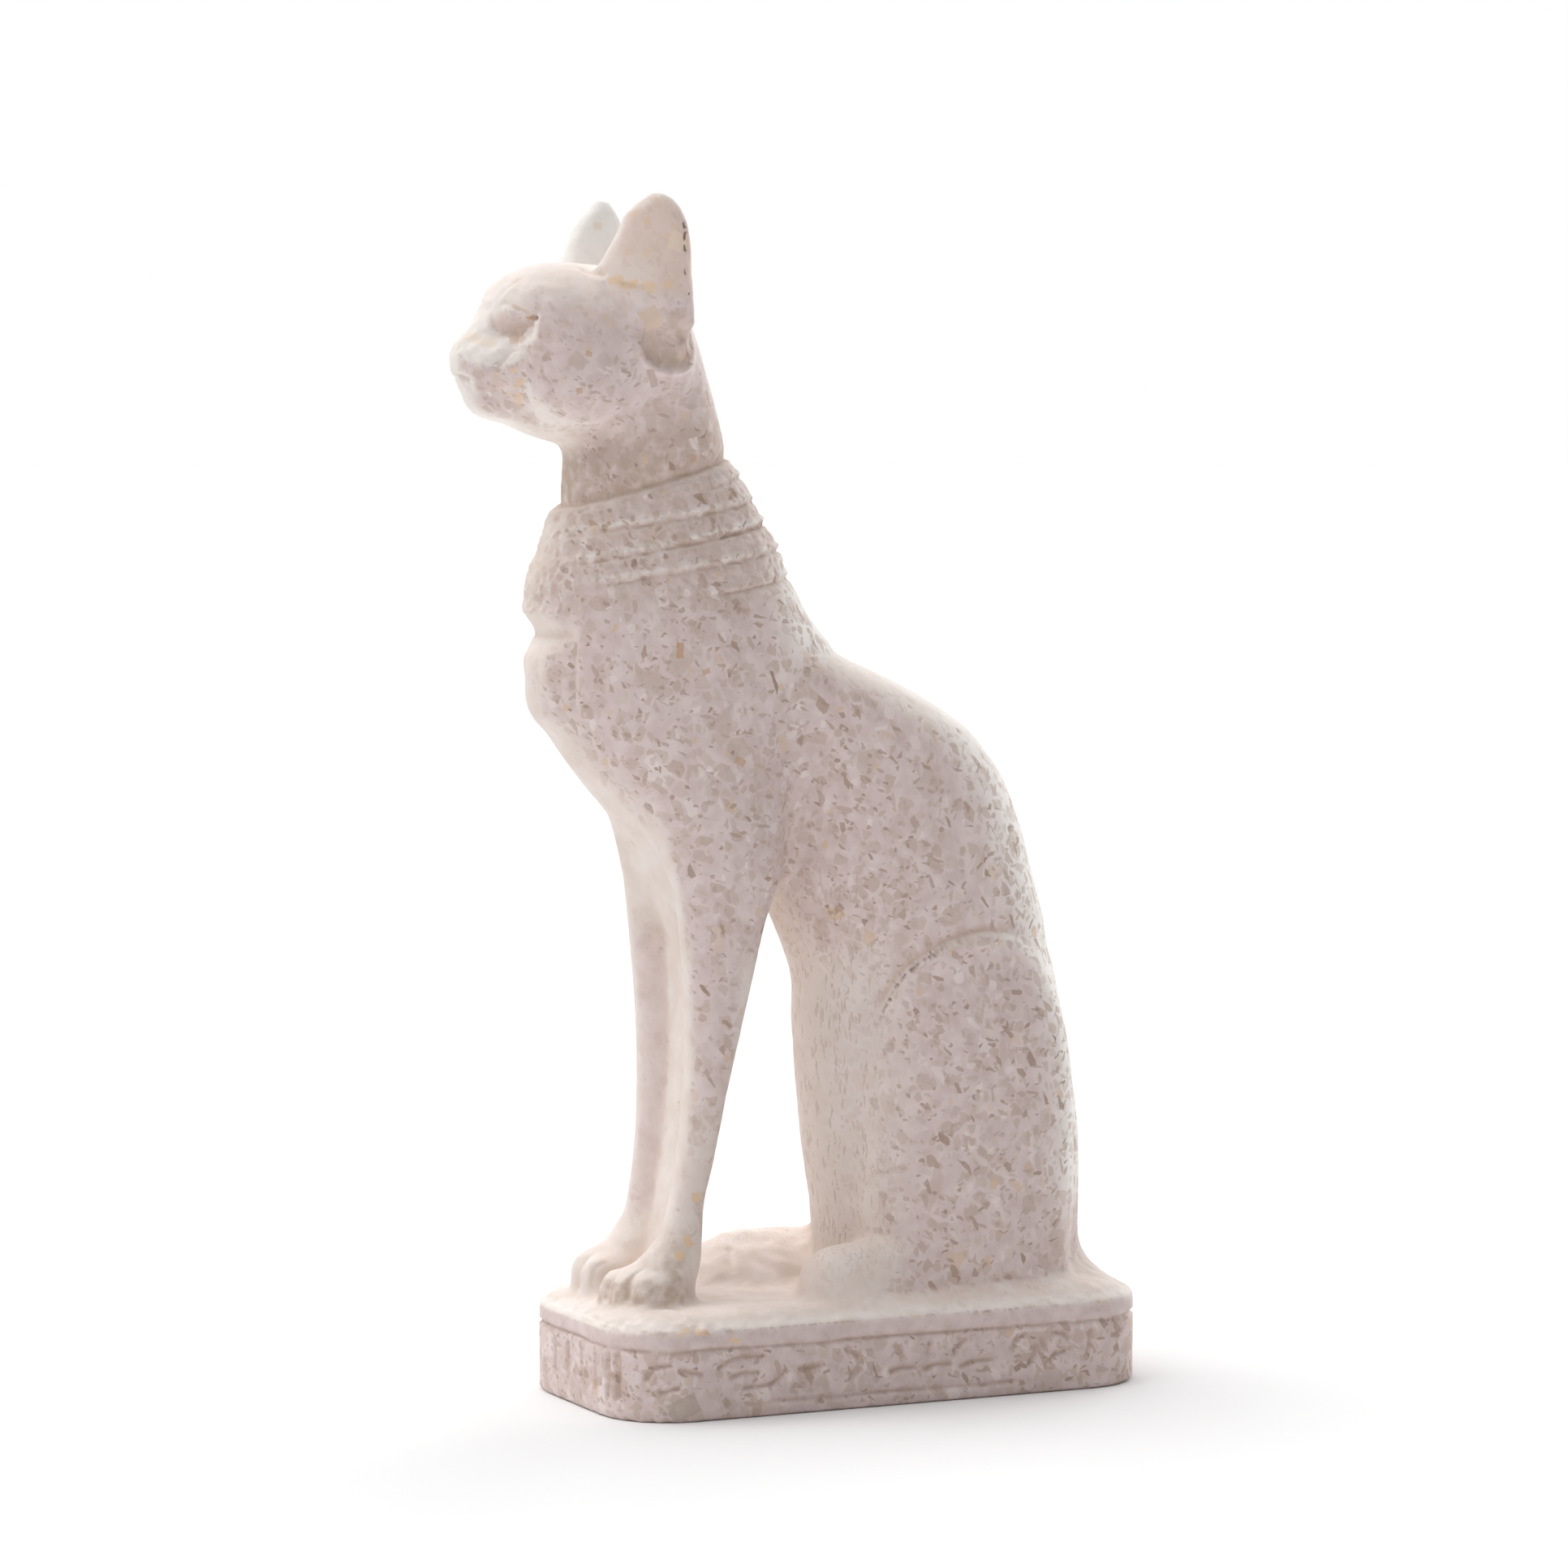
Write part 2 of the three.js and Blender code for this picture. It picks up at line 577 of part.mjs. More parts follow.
// Closed solid through rings of equal length, with flat ends
function loft(rings) {
  const points = rings.flat();
  const n = rings[0].length;
  const faces = [];
  for (let level = 0; level < rings.length - 1; level++) {
    for (let i = 0; i < n; i++) {
      const a = level * n + i;
      const b = level * n + (i + 1) % n;
      faces.push([a, b, b + n], [a, b + n, a + n]);
    }
  }
  const bottom = points.push([0, 0, rings[0][0][2]]) - 1;
  const top = points.push([0, 0, rings[rings.length - 1][0][2]]) - 1;
  const upper = (rings.length - 1) * n;
  for (let i = 0; i < n; i++) {
    faces.push([bottom, (i + 1) % n, i], [top, upper + i, upper + (i + 1) % n]);
  }
  return { points, faces };
}

const wasm = await Module();
wasm.setup();

function solid({ points, faces }) {
  const used = new Map();
  const place = [];
  const triangles = faces.flatMap((face) => face.map((n) => {
    if (!used.has(n)) {
      used.set(n, used.size);
      place.push(...points[n]);
    }
    return used.get(n);
  }));
  return new wasm.Manifold(new wasm.Mesh({
    numProp: 3,
    vertProperties: new Float32Array(place),
    triVerts: new Uint32Array(triangles),
  }));
}

function plinthSolid() {
  const halfX = plinthWidth / 2;
  const halfY = plinthLength / 2;
  const line = PLINTH_RIM_HEIGHT - BORDER_DROP;
  const profile = [[FOOT_CHAMFER, 0], [0, FOOT_CHAMFER]];
  profile.push([0, line - BORDER_WIDTH / 2], [BORDER_DEPTH, line], [0, line + BORDER_WIDTH / 2]);
  for (let i = 0; i <= RIM_STEPS; i++) {
    const angle = i / RIM_STEPS * Math.PI / 2;
    const inset = RIM_ROUNDING * (1 - Math.cos(angle));
    profile.push([inset, PLINTH_RIM_HEIGHT - RIM_ROUNDING * (1 - Math.sin(angle))]);
  }
  const ringAt = ([inset, z]) => rectangleRing(halfX, halfY, PLINTH_CORNER_RADIUS, inset, z, ARC_STEPS);
  return solid(loft(profile.map(ringAt)));
}

// Cutters for the sunk strokes on the plinth's left side, right side and front end
function signCutters() {
  const left = { reach: plinthWidth / 2, turn: 0 };
  const right = { reach: plinthWidth / 2, turn: Math.PI };
  const front = { reach: plinthLength / 2, turn: -Math.PI / 2 };
  const panelLow = FOOT_LINE_HEIGHT + BORDER_WIDTH + SIGN_WIDTH;
  const panelHigh = PLINTH_RIM_HEIGHT - BORDER_DROP - BORDER_WIDTH - SIGN_WIDTH / 2;
  const cutters = [];
  const stroke = (face, [y1, z1], [y2, z2]) => {
    const length = Math.hypot(y2 - y1, z2 - z1) + SIGN_WIDTH / 2;
    const box = new THREE.BoxGeometry(2 * SIGN_DEPTH, length, SIGN_WIDTH);
    box.rotateX(Math.atan2(z2 - z1, y2 - y1));
    box.translate(face.reach, (y1 + y2) / 2, (z1 + z2) / 2);
    box.rotateZ(face.turn);
    cutters.push(solidFromGeometry(box));
  };
  for (const sign of LEFT_SIGNS) {
    for (let i = 1; i < sign.length; i++) stroke(left, sign[i - 1], sign[i]);
  }
  for (let i = 0; i < PLAIN_SIGNS; i++) {
    const along = (i - (PLAIN_SIGNS - 1) / 2) * PLAIN_PITCH;
    stroke(right, [along - PLAIN_SLANT, panelLow], [along + PLAIN_SLANT, panelHigh]);
  }
  for (const along of FRONT_SIGNS) stroke(front, [along, panelLow], [along, panelHigh]);
  for (const face of [left, right]) {
    stroke(face, [-FOOT_LINE_LENGTH / 2, FOOT_LINE_HEIGHT], [FOOT_LINE_LENGTH / 2, FOOT_LINE_HEIGHT]);
  }
  return cutters;
}

function solidFromGeometry(geometry) {
  const position = geometry.getAttribute('position');
  const points = [];
  const known = new Map();
  const numbers = [];
  for (let i = 0; i < position.count; i++) {
    const place = [position.getX(i), position.getY(i), position.getZ(i)];
    const key = place.map((value) => value.toFixed(4)).join();
    if (!known.has(key)) known.set(key, points.push(place) - 1);
    numbers.push(known.get(key));
  }
  const faces = [];
  for (let i = 0; i < geometry.index.count; i += 3) {
    faces.push([0, 1, 2].map((corner) => numbers[geometry.index.getX(i + corner)]));
  }
  return solid({ points, faces });
}

function geometryOf(manifold) {
  const mesh = manifold.getMesh();
  const geometry = new THREE.BufferGeometry();
  const place = new Float32Array(mesh.numVert * 3);
  for (let i = 0; i < mesh.numVert; i++) {
    for (let axis = 0; axis < 3; axis++) place[3 * i + axis] = mesh.vertProperties[i * mesh.numProp + axis];
  }
  geometry.setAttribute('position', new THREE.BufferAttribute(place, 3));
  geometry.setIndex(new THREE.BufferAttribute(new Uint32Array(mesh.triVerts), 1));
  geometry.computeVertexNormals();
  return geometry;
}

function castCat() {
  const cell = CELL * UNIT;
  const margin = MARGIN_CELLS * cell;
  const front = Math.min(-plinthLength / 2, MUZZLE_REACH * UNIT + figureShift);
  const low = [-plinthWidth / 2 - margin, front - margin, PLINTH_RIM_HEIGHT / 2];
  const high = [plinthWidth / 2 + margin, plinthLength / 2 + margin, PAW_LEVEL + CAT_HEIGHT + margin];
  const figure = solid(simplify(skin(stoneDistance, low, high, cell), FIGURE_TRIANGLES));
  let cast = plinthSolid().add(figure);
  for (const cutter of signCutters()) cast = cast.subtract(cutter);
  return cast;
}

const stone = new THREE.MeshStandardMaterial({ color: '#d8ccc8', roughness: 0.6, metalness: 0 });
const catFigure = new THREE.Group();
const seatedCat = new THREE.Mesh(geometryOf(castCat()), stone);
seatedCat.name = 'seated_cat_on_plinth';
catFigure.add(seatedCat);

export default catFigure;
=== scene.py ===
"""A seated cat figure on its own low plinth, cast in one piece of pale composite stone."""
import math

import bpy
import numpy as np
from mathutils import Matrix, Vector, noise


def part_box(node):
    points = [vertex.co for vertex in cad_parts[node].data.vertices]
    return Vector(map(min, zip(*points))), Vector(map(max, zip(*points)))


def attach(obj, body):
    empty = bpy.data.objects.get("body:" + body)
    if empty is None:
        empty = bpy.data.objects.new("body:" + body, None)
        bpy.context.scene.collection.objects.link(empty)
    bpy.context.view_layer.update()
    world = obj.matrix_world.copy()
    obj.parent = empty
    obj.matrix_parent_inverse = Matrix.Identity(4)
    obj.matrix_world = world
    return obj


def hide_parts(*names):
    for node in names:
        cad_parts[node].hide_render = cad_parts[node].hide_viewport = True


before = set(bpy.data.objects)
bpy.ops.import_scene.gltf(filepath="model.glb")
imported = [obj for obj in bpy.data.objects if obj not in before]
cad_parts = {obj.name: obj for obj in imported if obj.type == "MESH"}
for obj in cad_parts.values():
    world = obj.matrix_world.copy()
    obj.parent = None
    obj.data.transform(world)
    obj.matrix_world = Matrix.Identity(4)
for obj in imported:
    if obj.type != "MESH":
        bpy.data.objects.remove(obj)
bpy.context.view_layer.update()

# Camera: it stands at the figure's left side, turned a little towards its face,
# level with the chin, with a long lens.
VIEW_TURN = math.radians(65)
VIEW_CLIMB = math.radians(4)
VIEW_DISTANCE = 0.9
VIEW_MIDDLE = Vector((0, -0.0097, 0.0987))
LENS_MM = 127.45
toward_camera = Vector((
    math.sin(VIEW_TURN) * math.cos(VIEW_CLIMB),
    -math.cos(VIEW_TURN) * math.cos(VIEW_CLIMB),
    math.sin(VIEW_CLIMB),
))
camera_data = bpy.data.cameras.new("side_camera")
camera_data.lens = LENS_MM
camera_data.sensor_width = 36
camera_data.clip_start = 0.01
camera = bpy.data.objects.new("side_camera", camera_data)
camera.location = VIEW_MIDDLE + VIEW_DISTANCE * toward_camera
camera.rotation_euler = toward_camera.to_track_quat("Z", "Y").to_euler()
bpy.context.scene.collection.objects.link(camera)
bpy.context.scene.camera = camera
bpy.context.scene.view_settings.view_transform = "Standard"

# Floor: one wide round sheet in matt white, so that the table has no edge in sight and only
# takes the figure's soft shadow.
FLOOR_REACH = 12
FLOOR_WHITE = (0.86, 0.86, 0.86, 1)
bpy.ops.object.select_all(action="DESELECT")
bpy.ops.mesh.primitive_circle_add(vertices=96, radius=FLOOR_REACH, fill_type="NGON")
floor = bpy.context.object
floor.name = "floor"
floor_paint = bpy.data.materials.new("white_table")
floor_paint.use_nodes = True
floor_shader = floor_paint.node_tree.nodes["Principled BSDF"]
floor_shader.inputs["Base Color"].default_value = FLOOR_WHITE
floor_shader.inputs["Roughness"].default_value = 0.9
floor_shader.inputs["Specular IOR Level"].default_value = 0.1
floor.data.materials.append(floor_paint)


# Light: broad and soft from above, from before the face, from beyond the figure's right side and
# from low behind it, with little from the camera's side, so that the side walls stay a tone darker.
def soft_light(name, turn, climb, strength, spread):
    """A broad distant light: where it stands round the figure, how high, and how wide it looks."""
    data = bpy.data.lights.new(name, "SUN")
    data.energy = strength
    data.angle = math.radians(spread)
    light = bpy.data.objects.new(name, data)
    turn, climb = math.radians(turn), math.radians(climb)
    aim = Vector((
        math.sin(turn) * math.cos(climb),
        -math.cos(turn) * math.cos(climb),
        math.sin(climb),
    ))
    light.rotation_euler = aim.to_track_quat("Z", "Y").to_euler()
    bpy.context.scene.collection.objects.link(light)


soft_light("key_before_face", turn=-18, climb=50, strength=1.28, spread=55)
soft_light("beyond_right_side", turn=-90, climb=50, strength=1.45, spread=75)
soft_light("low_behind", turn=208, climb=15, strength=1.75, spread=50)
soft_light("camera_side", turn=60, climb=50, strength=0.48, spread=60)
soft_light("overhead", turn=60, climb=88, strength=0.88, spread=80)

# The room: white where the camera sees it, and a faint even light on the figure
sky = bpy.data.worlds.new("white_room")
bpy.context.scene.world = sky
sky.use_nodes = True
sky_nodes, sky_links = sky.node_tree.nodes, sky.node_tree.links
sky_light = sky_nodes["Background"]
sky_light.inputs["Color"].default_value = (1, 1, 1, 1)
sky_light.inputs["Strength"].default_value = 0.05
sky_seen = sky_nodes.new("ShaderNodeBackground")
sky_seen.inputs["Color"].default_value = (1, 1, 1, 1)
sky_path = sky_nodes.new("ShaderNodeLightPath")
sky_mix = sky_nodes.new("ShaderNodeMixShader")
sky_links.new(sky_path.outputs["Is Camera Ray"], sky_mix.inputs["Fac"])
sky_links.new(sky_light.outputs["Background"], sky_mix.inputs[1])
sky_links.new(sky_seen.outputs["Background"], sky_mix.inputs[2])
sky_links.new(sky_mix.outputs["Shader"], sky_nodes["World Output"].inputs["Surface"])

# The cast: cat and plinth in one piece of composite stone, poured in a mould and rubbed down.
# Its form is the solid's, with the facets smoothed away; the carving is then cut into it.
MM = 0.001
GRID = 0.40 * MM
JOINED_WITHIN = 0.01 * MM
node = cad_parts["seated_cat_on_plinth"]
bpy.ops.object.select_all(action="DESELECT")
cast = bpy.data.objects.new("cast_cat", node.data.copy())
bpy.context.scene.collection.objects.link(cast)
cast.data.materials.clear()
cast.select_set(True)
bpy.context.view_layer.objects.active = cast
bpy.ops.object.mode_set(mode="EDIT")
bpy.ops.mesh.select_all(action="SELECT")
bpy.ops.mesh.remove_doubles(threshold=JOINED_WITHIN)
bpy.ops.object.mode_set(mode="OBJECT")
bpy.ops.object.modifier_add(type="REMESH")
cast.modifiers[-1].mode = "VOXEL"
cast.modifiers[-1].voxel_size = GRID
bpy.ops.object.modifier_apply(modifier=cast.modifiers[-1].name)


def read_points():
    """The cast's points, in mm."""
    flat = np.empty(len(cast.data.vertices) * 3)
    cast.data.vertices.foreach_get("co", flat)
    return flat.reshape(-1, 3) / MM


def read_normals():
    """Directions out of the cast at its points."""
    flat = np.empty(len(cast.data.vertices) * 3, np.float32)
    cast.data.vertex_normals.foreach_get("vector", flat)
    return flat.reshape(-1, 3).astype(float)


def write_points(points):
    """Puts the cast's points at new places, given in mm."""
    cast.data.vertices.foreach_set("co", (points * MM).ravel())
    cast.data.update()


def step(low, high, value):
    """Smooth rise from 0 at low to 1 at high; falls instead where low is above high."""
    share = np.clip((value - low) / (high - low), 0, 1)
    return share * share * (3 - 2 * share)


def soften(points, rounds, share):
    """Moves each point towards the middle of its neighbours, by its own share of the way."""
    ends = np.empty(len(cast.data.edges) * 2, np.int32)
    cast.data.edges.foreach_get("vertices", ends)
    start, end = ends[::2], ends[1::2]
    both, other = np.concatenate([start, end]), np.concatenate([end, start])
    count = np.maximum(np.bincount(both, minlength=len(points)), 1)
    points = points.copy()
    for _ in range(rounds):
        middle = np.stack([
            np.bincount(both, weights=points[other, axis], minlength=len(points)) / count
            for axis in range(3)
        ], axis=1)
        points += share[:, None] * (middle - points)
    return points


# The plinth's outline, from the solid's own box
low_corner, high_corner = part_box("seated_cat_on_plinth")
HALF_WIDTH = high_corner.x / MM
HALF_LENGTH = high_corner.y / MM
CORNER = 12.0
RIM = 14.9
WALL_TOP = RIM - 1.3
WALL_FOOT = 0.7


def wall_depth(points):
    """How far each point is inside the plinth's side walls."""
    dx = np.abs(points[:, 0]) - HALF_WIDTH + CORNER
    dy = np.abs(points[:, 1]) - HALF_LENGTH + CORNER
    outside = np.hypot(np.maximum(dx, 0), np.maximum(dy, 0)) + np.minimum(np.maximum(dx, dy), 0)
    return CORNER - outside


def wall_facing(points):
    """Level direction that points out of the nearest side wall."""
    dx = np.maximum(np.abs(points[:, 0]) - HALF_WIDTH + CORNER, 0)
    dy = np.maximum(np.abs(points[:, 1]) - HALF_LENGTH + CORNER, 0)
    flat = np.stack([dx * np.sign(points[:, 0]), dy * np.sign(points[:, 1])], axis=1)
    return flat / np.maximum(np.linalg.norm(flat, axis=1), 1e-9)[:, None]


points = read_points()
on_wall = (points[:, 2] < WALL_TOP) & (points[:, 2] > WALL_FOOT) & (wall_depth(points) < 1.6)
facing = wall_facing(points)
WALL_ROUNDS = 6
for _ in range(2):
    points[on_wall, :2] += facing[on_wall] * wall_depth(points)[on_wall, None]
    points = soften(points, WALL_ROUNDS, np.where(on_wall, 0.5, 0))
points[on_wall, :2] += facing[on_wall] * wall_depth(points)[on_wall, None]

# Facets are rubbed out of the figure, and the shrinking that this brings is put back
above = step(RIM - 0.6, RIM + 1.2, points[:, 2])
ears = step(176, 181, points[:, 2])
face = step(160, 164, points[:, 2]) * step(-52, -56, points[:, 1])
toes = step(25, 22, points[:, 2]) * step(-34, -37, points[:, 1])
share = 0.5 * above * (1 - 0.85 * ears) * (1 - 0.5 * face) * (1 - 0.75 * toes)
FACET_ROUNDS = 44
once = soften(points, FACET_ROUNDS, share)
twice = soften(once, FACET_ROUNDS, share)
points = 2 * once - twice
points[:, 2] = np.maximum(points[:, 2], 0)

# The left ear ends in a broad round tip
EAR_TIP = 193.3
EAR_TIP_MIDDLE = -36.8
EAR_TIP_REACH = 6.5
WIDER_BY = 0.42
FORWARD_BY = 0.25
tip = (points[:, 0] > 5) & (points[:, 2] > EAR_TIP - EAR_TIP_REACH)
below_tip = EAR_TIP - points[tip, 2]
wider = WIDER_BY * np.exp(-0.35 * np.maximum(below_tip - 1.1, 0)) * step(EAR_TIP_REACH, 2.5, below_tip)
points[tip, 1] += wider * (points[tip, 1] - EAR_TIP_MIDDLE) - FORWARD_BY * step(6, 3, below_tip)
write_points(points)


def path_gap(places, path):
    """Distance from each place to a path of straight stretches, and the share of the way along."""
    path = np.array(path, float)
    lengths = np.linalg.norm(np.diff(path, axis=0), axis=1)
    starts = np.concatenate([[0], np.cumsum(lengths)])
    gap = np.full(len(places), np.inf)
    way = np.zeros(len(places))
    for number, (a, b) in enumerate(zip(path[:-1], path[1:])):
        ab = b - a
        t = np.clip((places - a) @ ab / (ab @ ab), 0, 1)
        distance = np.linalg.norm(places - a - t[:, None] * ab, axis=1)
        nearer = distance < gap
        gap[nearer] = distance[nearer]
        way[nearer] = (starts[number] + t[nearer] * lengths[number]) / starts[-1]
    return gap, way


def smooth_path(path, steps=6):
    """The same path as a smooth curve through its points."""
    path = np.array(path, float)
    full = np.vstack([2 * path[0] - path[1], path, 2 * path[-1] - path[-2]])
    curve = []
    for p, q, r, s in zip(full[:-3], full[1:-2], full[2:-1], full[3:]):
        for t in np.arange(steps) / steps:
            bend = 2 * p - 5 * q + 4 * r - s + t * (3 * (q - r) + s - p)
            curve.append(q + t / 2 * (r - p + t * bend))
    return np.array(curve + [path[-1]])


class Carving:
    """Cuts and raised places on the cast, gathered as lifts along its normals."""

    def __init__(self, one_side=False):
        self.points = read_points()
        self.normals = read_normals()
        self.places = self.points.copy()
        if not one_side:
            self.places[:, 0] = np.abs(self.places[:, 0])
        self.lift = np.zeros(len(self.points))

    def near(self, path, reach):
        """Numbers of the points in the box round a path."""
        path = np.array(path, float)
        inside = (self.places > path.min(0) - reach) & (self.places < path.max(0) + reach)
        return np.flatnonzero(inside.all(axis=1))

    def stroke(self, path, half_width, height, ends=0.12, lip=0.0):
        """A groove (height below 0) or ridge along a path, fading at its ends."""
        curve = smooth_path(path) if len(path) > 2 else np.array(path, float)
        near = self.near(curve, 2.2 * half_width)
        gap, way = path_gap(self.places[near], curve)
        fade = step(0, ends, way) * step(1, 1 - ends, way) if ends else 1
        across = gap / half_width
        shape = height * np.maximum(1 - across ** 2, 0) ** 2
        shape += lip * np.maximum(1 - (across - 1.5) ** 2 / 0.49, 0) ** 2
        self.lift[near] += shape * fade

    def mound(self, middle, radii, height):
        """A rounded rise or hollow."""
        near = self.near([middle], max(radii))
        share = np.linalg.norm((self.places[near] - middle) / radii, axis=1)
        self.lift[near] += height * np.maximum(1 - share ** 2, 0) ** 2

    def brink(self, near, path, heart, proud, sunk, crispness, fade_in, fade_out, ragged=0.0):
        """A worn step along a path seen from the side: the heart's side stands proud."""
        flat = self.places[near, 1:]
        path = smooth_path(path)
        gap, way = path_gap(flat, path)
        nearest = path[np.clip((way * (len(path) - 1)).round().astype(int), 0, len(path) - 1)]
        inward = np.sign(((flat - nearest) * (np.array(heart) - nearest)).sum(axis=1))
        signed = gap * inward
        if ragged:
            signed += ragged * np.array([noise.noise(Vector(p)) for p in self.points[near]])
        kept = step(0, fade_in, way) * step(1, 1 - fade_out, way)
        rise = proud[0] * np.exp(-np.maximum(signed, 0) / proud[1]) * step(-crispness, crispness, signed)
        fall = sunk[0] * np.exp(-np.maximum(-signed, 0) / sunk[1]) * step(crispness, -crispness, signed)
        self.lift[near] += kept * (rise - fall)

    def cut(self):
        """Moves the cast's points by what was gathered."""
        write_points(self.points + self.normals * self.lift[:, None])


# The head: lids, brow, whisker pads and mouth are cut shallow and rubbed soft. The flat cheek
# stands proud of the face, along a ragged crease from the corner of the eye to the mouth.
head = Carving()
CHEEK_EDGE = [
    (-56.2, 173.6), (-56.9, 172.6), (-57.5, 171.6), (-58.1, 170.6), (-58.7, 169.7), (-59.3, 168.9),
    (-60.1, 167.7), (-61.2, 166.7), (-62.8, 166.1), (-64.3, 165.8),
]
face_side = (head.places[:, 0] > 1.5) & (head.places[:, 1] < -52) & (head.places[:, 2] > 160)
face_side = np.flatnonzero(face_side & (head.places[:, 2] < 176))
head.brink(face_side, CHEEK_EDGE, (-52, 163), (0.22, 1.2), (0.5, 1.3), 0.22, 0.08, 0.2, ragged=0.75)
UPPER_LID = [
    (4.2, -60.7, 175.6), (4.9, -60.2, 176.0), (5.9, -59.7, 175.6), (6.8, -59.1, 175.1),
    (8.1, -58.0, 174.6), (8.9, -57.0, 174.0),
]
head.stroke(UPPER_LID, 0.5, -0.34, ends=0.15, lip=0.08)
LOWER_LID = [(4.6, -61.0, 171.5), (5.3, -59.9, 171.3), (5.7, -58.9, 171.5), (6.3, -58.0, 171.8)]
head.stroke(LOWER_LID, 0.6, -0.15, ends=0.2, lip=0.06)
head.mound((6.3, -59.2, 173.3), (2.6, 2.6, 1.5), 0.3)
head.mound((8.9, -56.9, 173.6), (0.9, 0.8, 0.6), -1.9)
BROW_LINE = [
    (3.5, -61.0, 175.9), (3.5, -60.5, 176.9), (3.7, -59.7, 177.8), (4.0, -58.7, 178.7),
    (4.2, -57.7, 179.3), (4.7, -56.3, 179.8),
]
head.stroke(BROW_LINE, 0.6, -0.16, ends=0.3, lip=0.06)
BROW_RIDGE = [(4.8, -59.4, 177.2), (6.6, -57.2, 178.0), (8.2, -54.4, 178.2), (9.6, -51.0, 177.4)]
head.stroke(BROW_RIDGE, 1.6, 0.22, ends=0.3)
NOSE_SIDE = [
    (1.6, -66.0, 169.0), (2.6, -65.4, 169.8), (3.4, -63.7, 170.8), (4.6, -61.4, 171.0), (5.8, -59.4, 170.5),
]
head.stroke(NOSE_SIDE, 1.5, -0.3, ends=0.15)
head.mound((5.2, -62.2, 168.0), (3.0, 3.6, 1.8), 0.42)
MOUTH = [
    (0, -67.0, 165.0), (0.8, -66.7, 164.7), (1.7, -66.3, 164.5), (2.5, -65.8, 164.2), (3.2, -65.3, 164.2),
]
head.stroke(MOUTH, 0.5, -0.45, ends=0.12, lip=0.06)
LIP_CLEFT = [(0, -67.6, 168.4), (0, -67.2, 165.0)]
head.stroke(LIP_CLEFT, 0.5, -0.3, ends=0.2)
NOSTRIL = [(0.9, -66.6, 170.6), (1.7, -66.4, 169.2), (1.3, -66.9, 168.2)]
head.stroke(NOSTRIL, 0.5, -0.25, ends=0.2)

# Ears: a flat outer face with a broken crease under it, a nicked back edge, and below each ear
# a bowl with a sharp lower rim
for foot_line in (
    [(4.5, -47.6, 181.7), (7.2, -46.6, 181.0), (9.2, -45.7, 180.5), (10.4, -44.9, 180.0)],
    [(11.3, -43.9, 179.5), (12.4, -42.3, 178.9), (13.7, -39.4, 178.6)],
):
    head.stroke(foot_line, 0.8, -0.45, ends=0.2, lip=0.08)
head.mound((14.5, -39.0, 184.6), (5, 5.6, 7.5), -0.35)
for height in (188.2, 186.6, 184.6, 180.9):
    head.stroke([(14.3, -33.6, height - 0.5), (14.3, -33.5, height + 0.5)], 0.4, -0.55, ends=0)
BOWL_MIDDLE = (-35.2, 170.0)
BOWL_RADII = (5.2, 4.7)
BOWL_DEPTH = 1.7


def bowl_share(places):
    """How far out on the bowl under the ear each place lies, with 1 at its rim."""
    along = (places[:, 1] - BOWL_MIDDLE[0]) / BOWL_RADII[0]
    up = (places[:, 2] - BOWL_MIDDLE[1]) / BOWL_RADII[1]
    return np.hypot(along, up)


bowl = bowl_share(head.places)
outer = (head.places[:, 0] > 6) & (head.places[:, 2] > 163)
bowl_depth = BOWL_DEPTH * np.maximum(1 - bowl ** 6, 0) * step(174.6, 170.5, head.places[:, 2])
head.lift -= bowl_depth * outer
rim = np.exp(-((bowl - 1.09) / 0.07) ** 2) * step(171.5, 168, head.places[:, 2])
head.lift += 0.35 * rim * outer
head.mound((13.4, -32.6, 168.4), (2.0, 1.7, 2.0), 0.5)
head.cut()

# The broad collar: flat bands between fine grooves, climbing to the nape, worn away in front
collar = Carving()
COLLAR_MIDDLE = -35
side_x, along_y, height_z = collar.places.T


def band_line(places, height, climb):
    """How far above a line that climbs to the nape each place lies."""
    return places[:, 2] - height - climb * (places[:, 1] - COLLAR_MIDDLE)


COLLAR_TOP = (147.9, 0.268)
COLLAR_FOOT = (129.0, 0.15)
# Each groove: its line, depth, and where it fades towards the chest
BANDS = [
    ((145.1, 0.21), 0.25, -32, -26),
    ((141.7, 0.16), 0.4, -52, -46),
    ((137.5, 0.176), 0.5, -52, -46),
    ((133.4, 0.15), 0.4, -52, -46),
]
torso = step(-4, -8, along_y) * (height_z > 118) * (height_z < 160)
uneven = np.array([noise.noise(Vector(p) / 2.2) for p in collar.points])
jagged = np.array([noise.noise(Vector(p) / 0.9) for p in collar.points])
above_top = band_line(collar.places, *COLLAR_TOP) + 0.35 * uneven + 0.25 * jagged
collar.lift -= torso * 0.8 * np.where(above_top > 0, np.exp(-above_top / 2.0), step(-0.6, 0, above_top))
collar.lift += torso * 0.12 * np.exp(-((above_top + 1.3) / 0.6) ** 2)
nape = 1 + 0.35 * step(-30, -24, along_y)
for line, depth, worn_from, worn_to in BANDS:
    off = band_line(collar.places, *line) + 0.25 * jagged
    kept = torso * step(worn_from, worn_to, along_y) * np.clip(0.9 + 1.2 * uneven, 0.2, 1.3)
    collar.lift -= kept * nape * depth * np.maximum(1 - (off / 0.7) ** 2, 0) ** 2
    collar.lift += kept * 0.5 * depth * np.exp(-((off - 1.0) / 0.42) ** 2)
off = band_line(collar.places, *COLLAR_FOOT)
toward_nape = step(-32, -24, along_y)
collar.lift -= torso * toward_nape * 0.8 * np.where(off > 0, step(0.5, 0, off), np.exp(off / 1.6))
on_bands = torso * (above_top < 0) * step(0, 1.5, off)
collar.lift += on_bands * (0.26 * jagged + 0.16 * uneven)

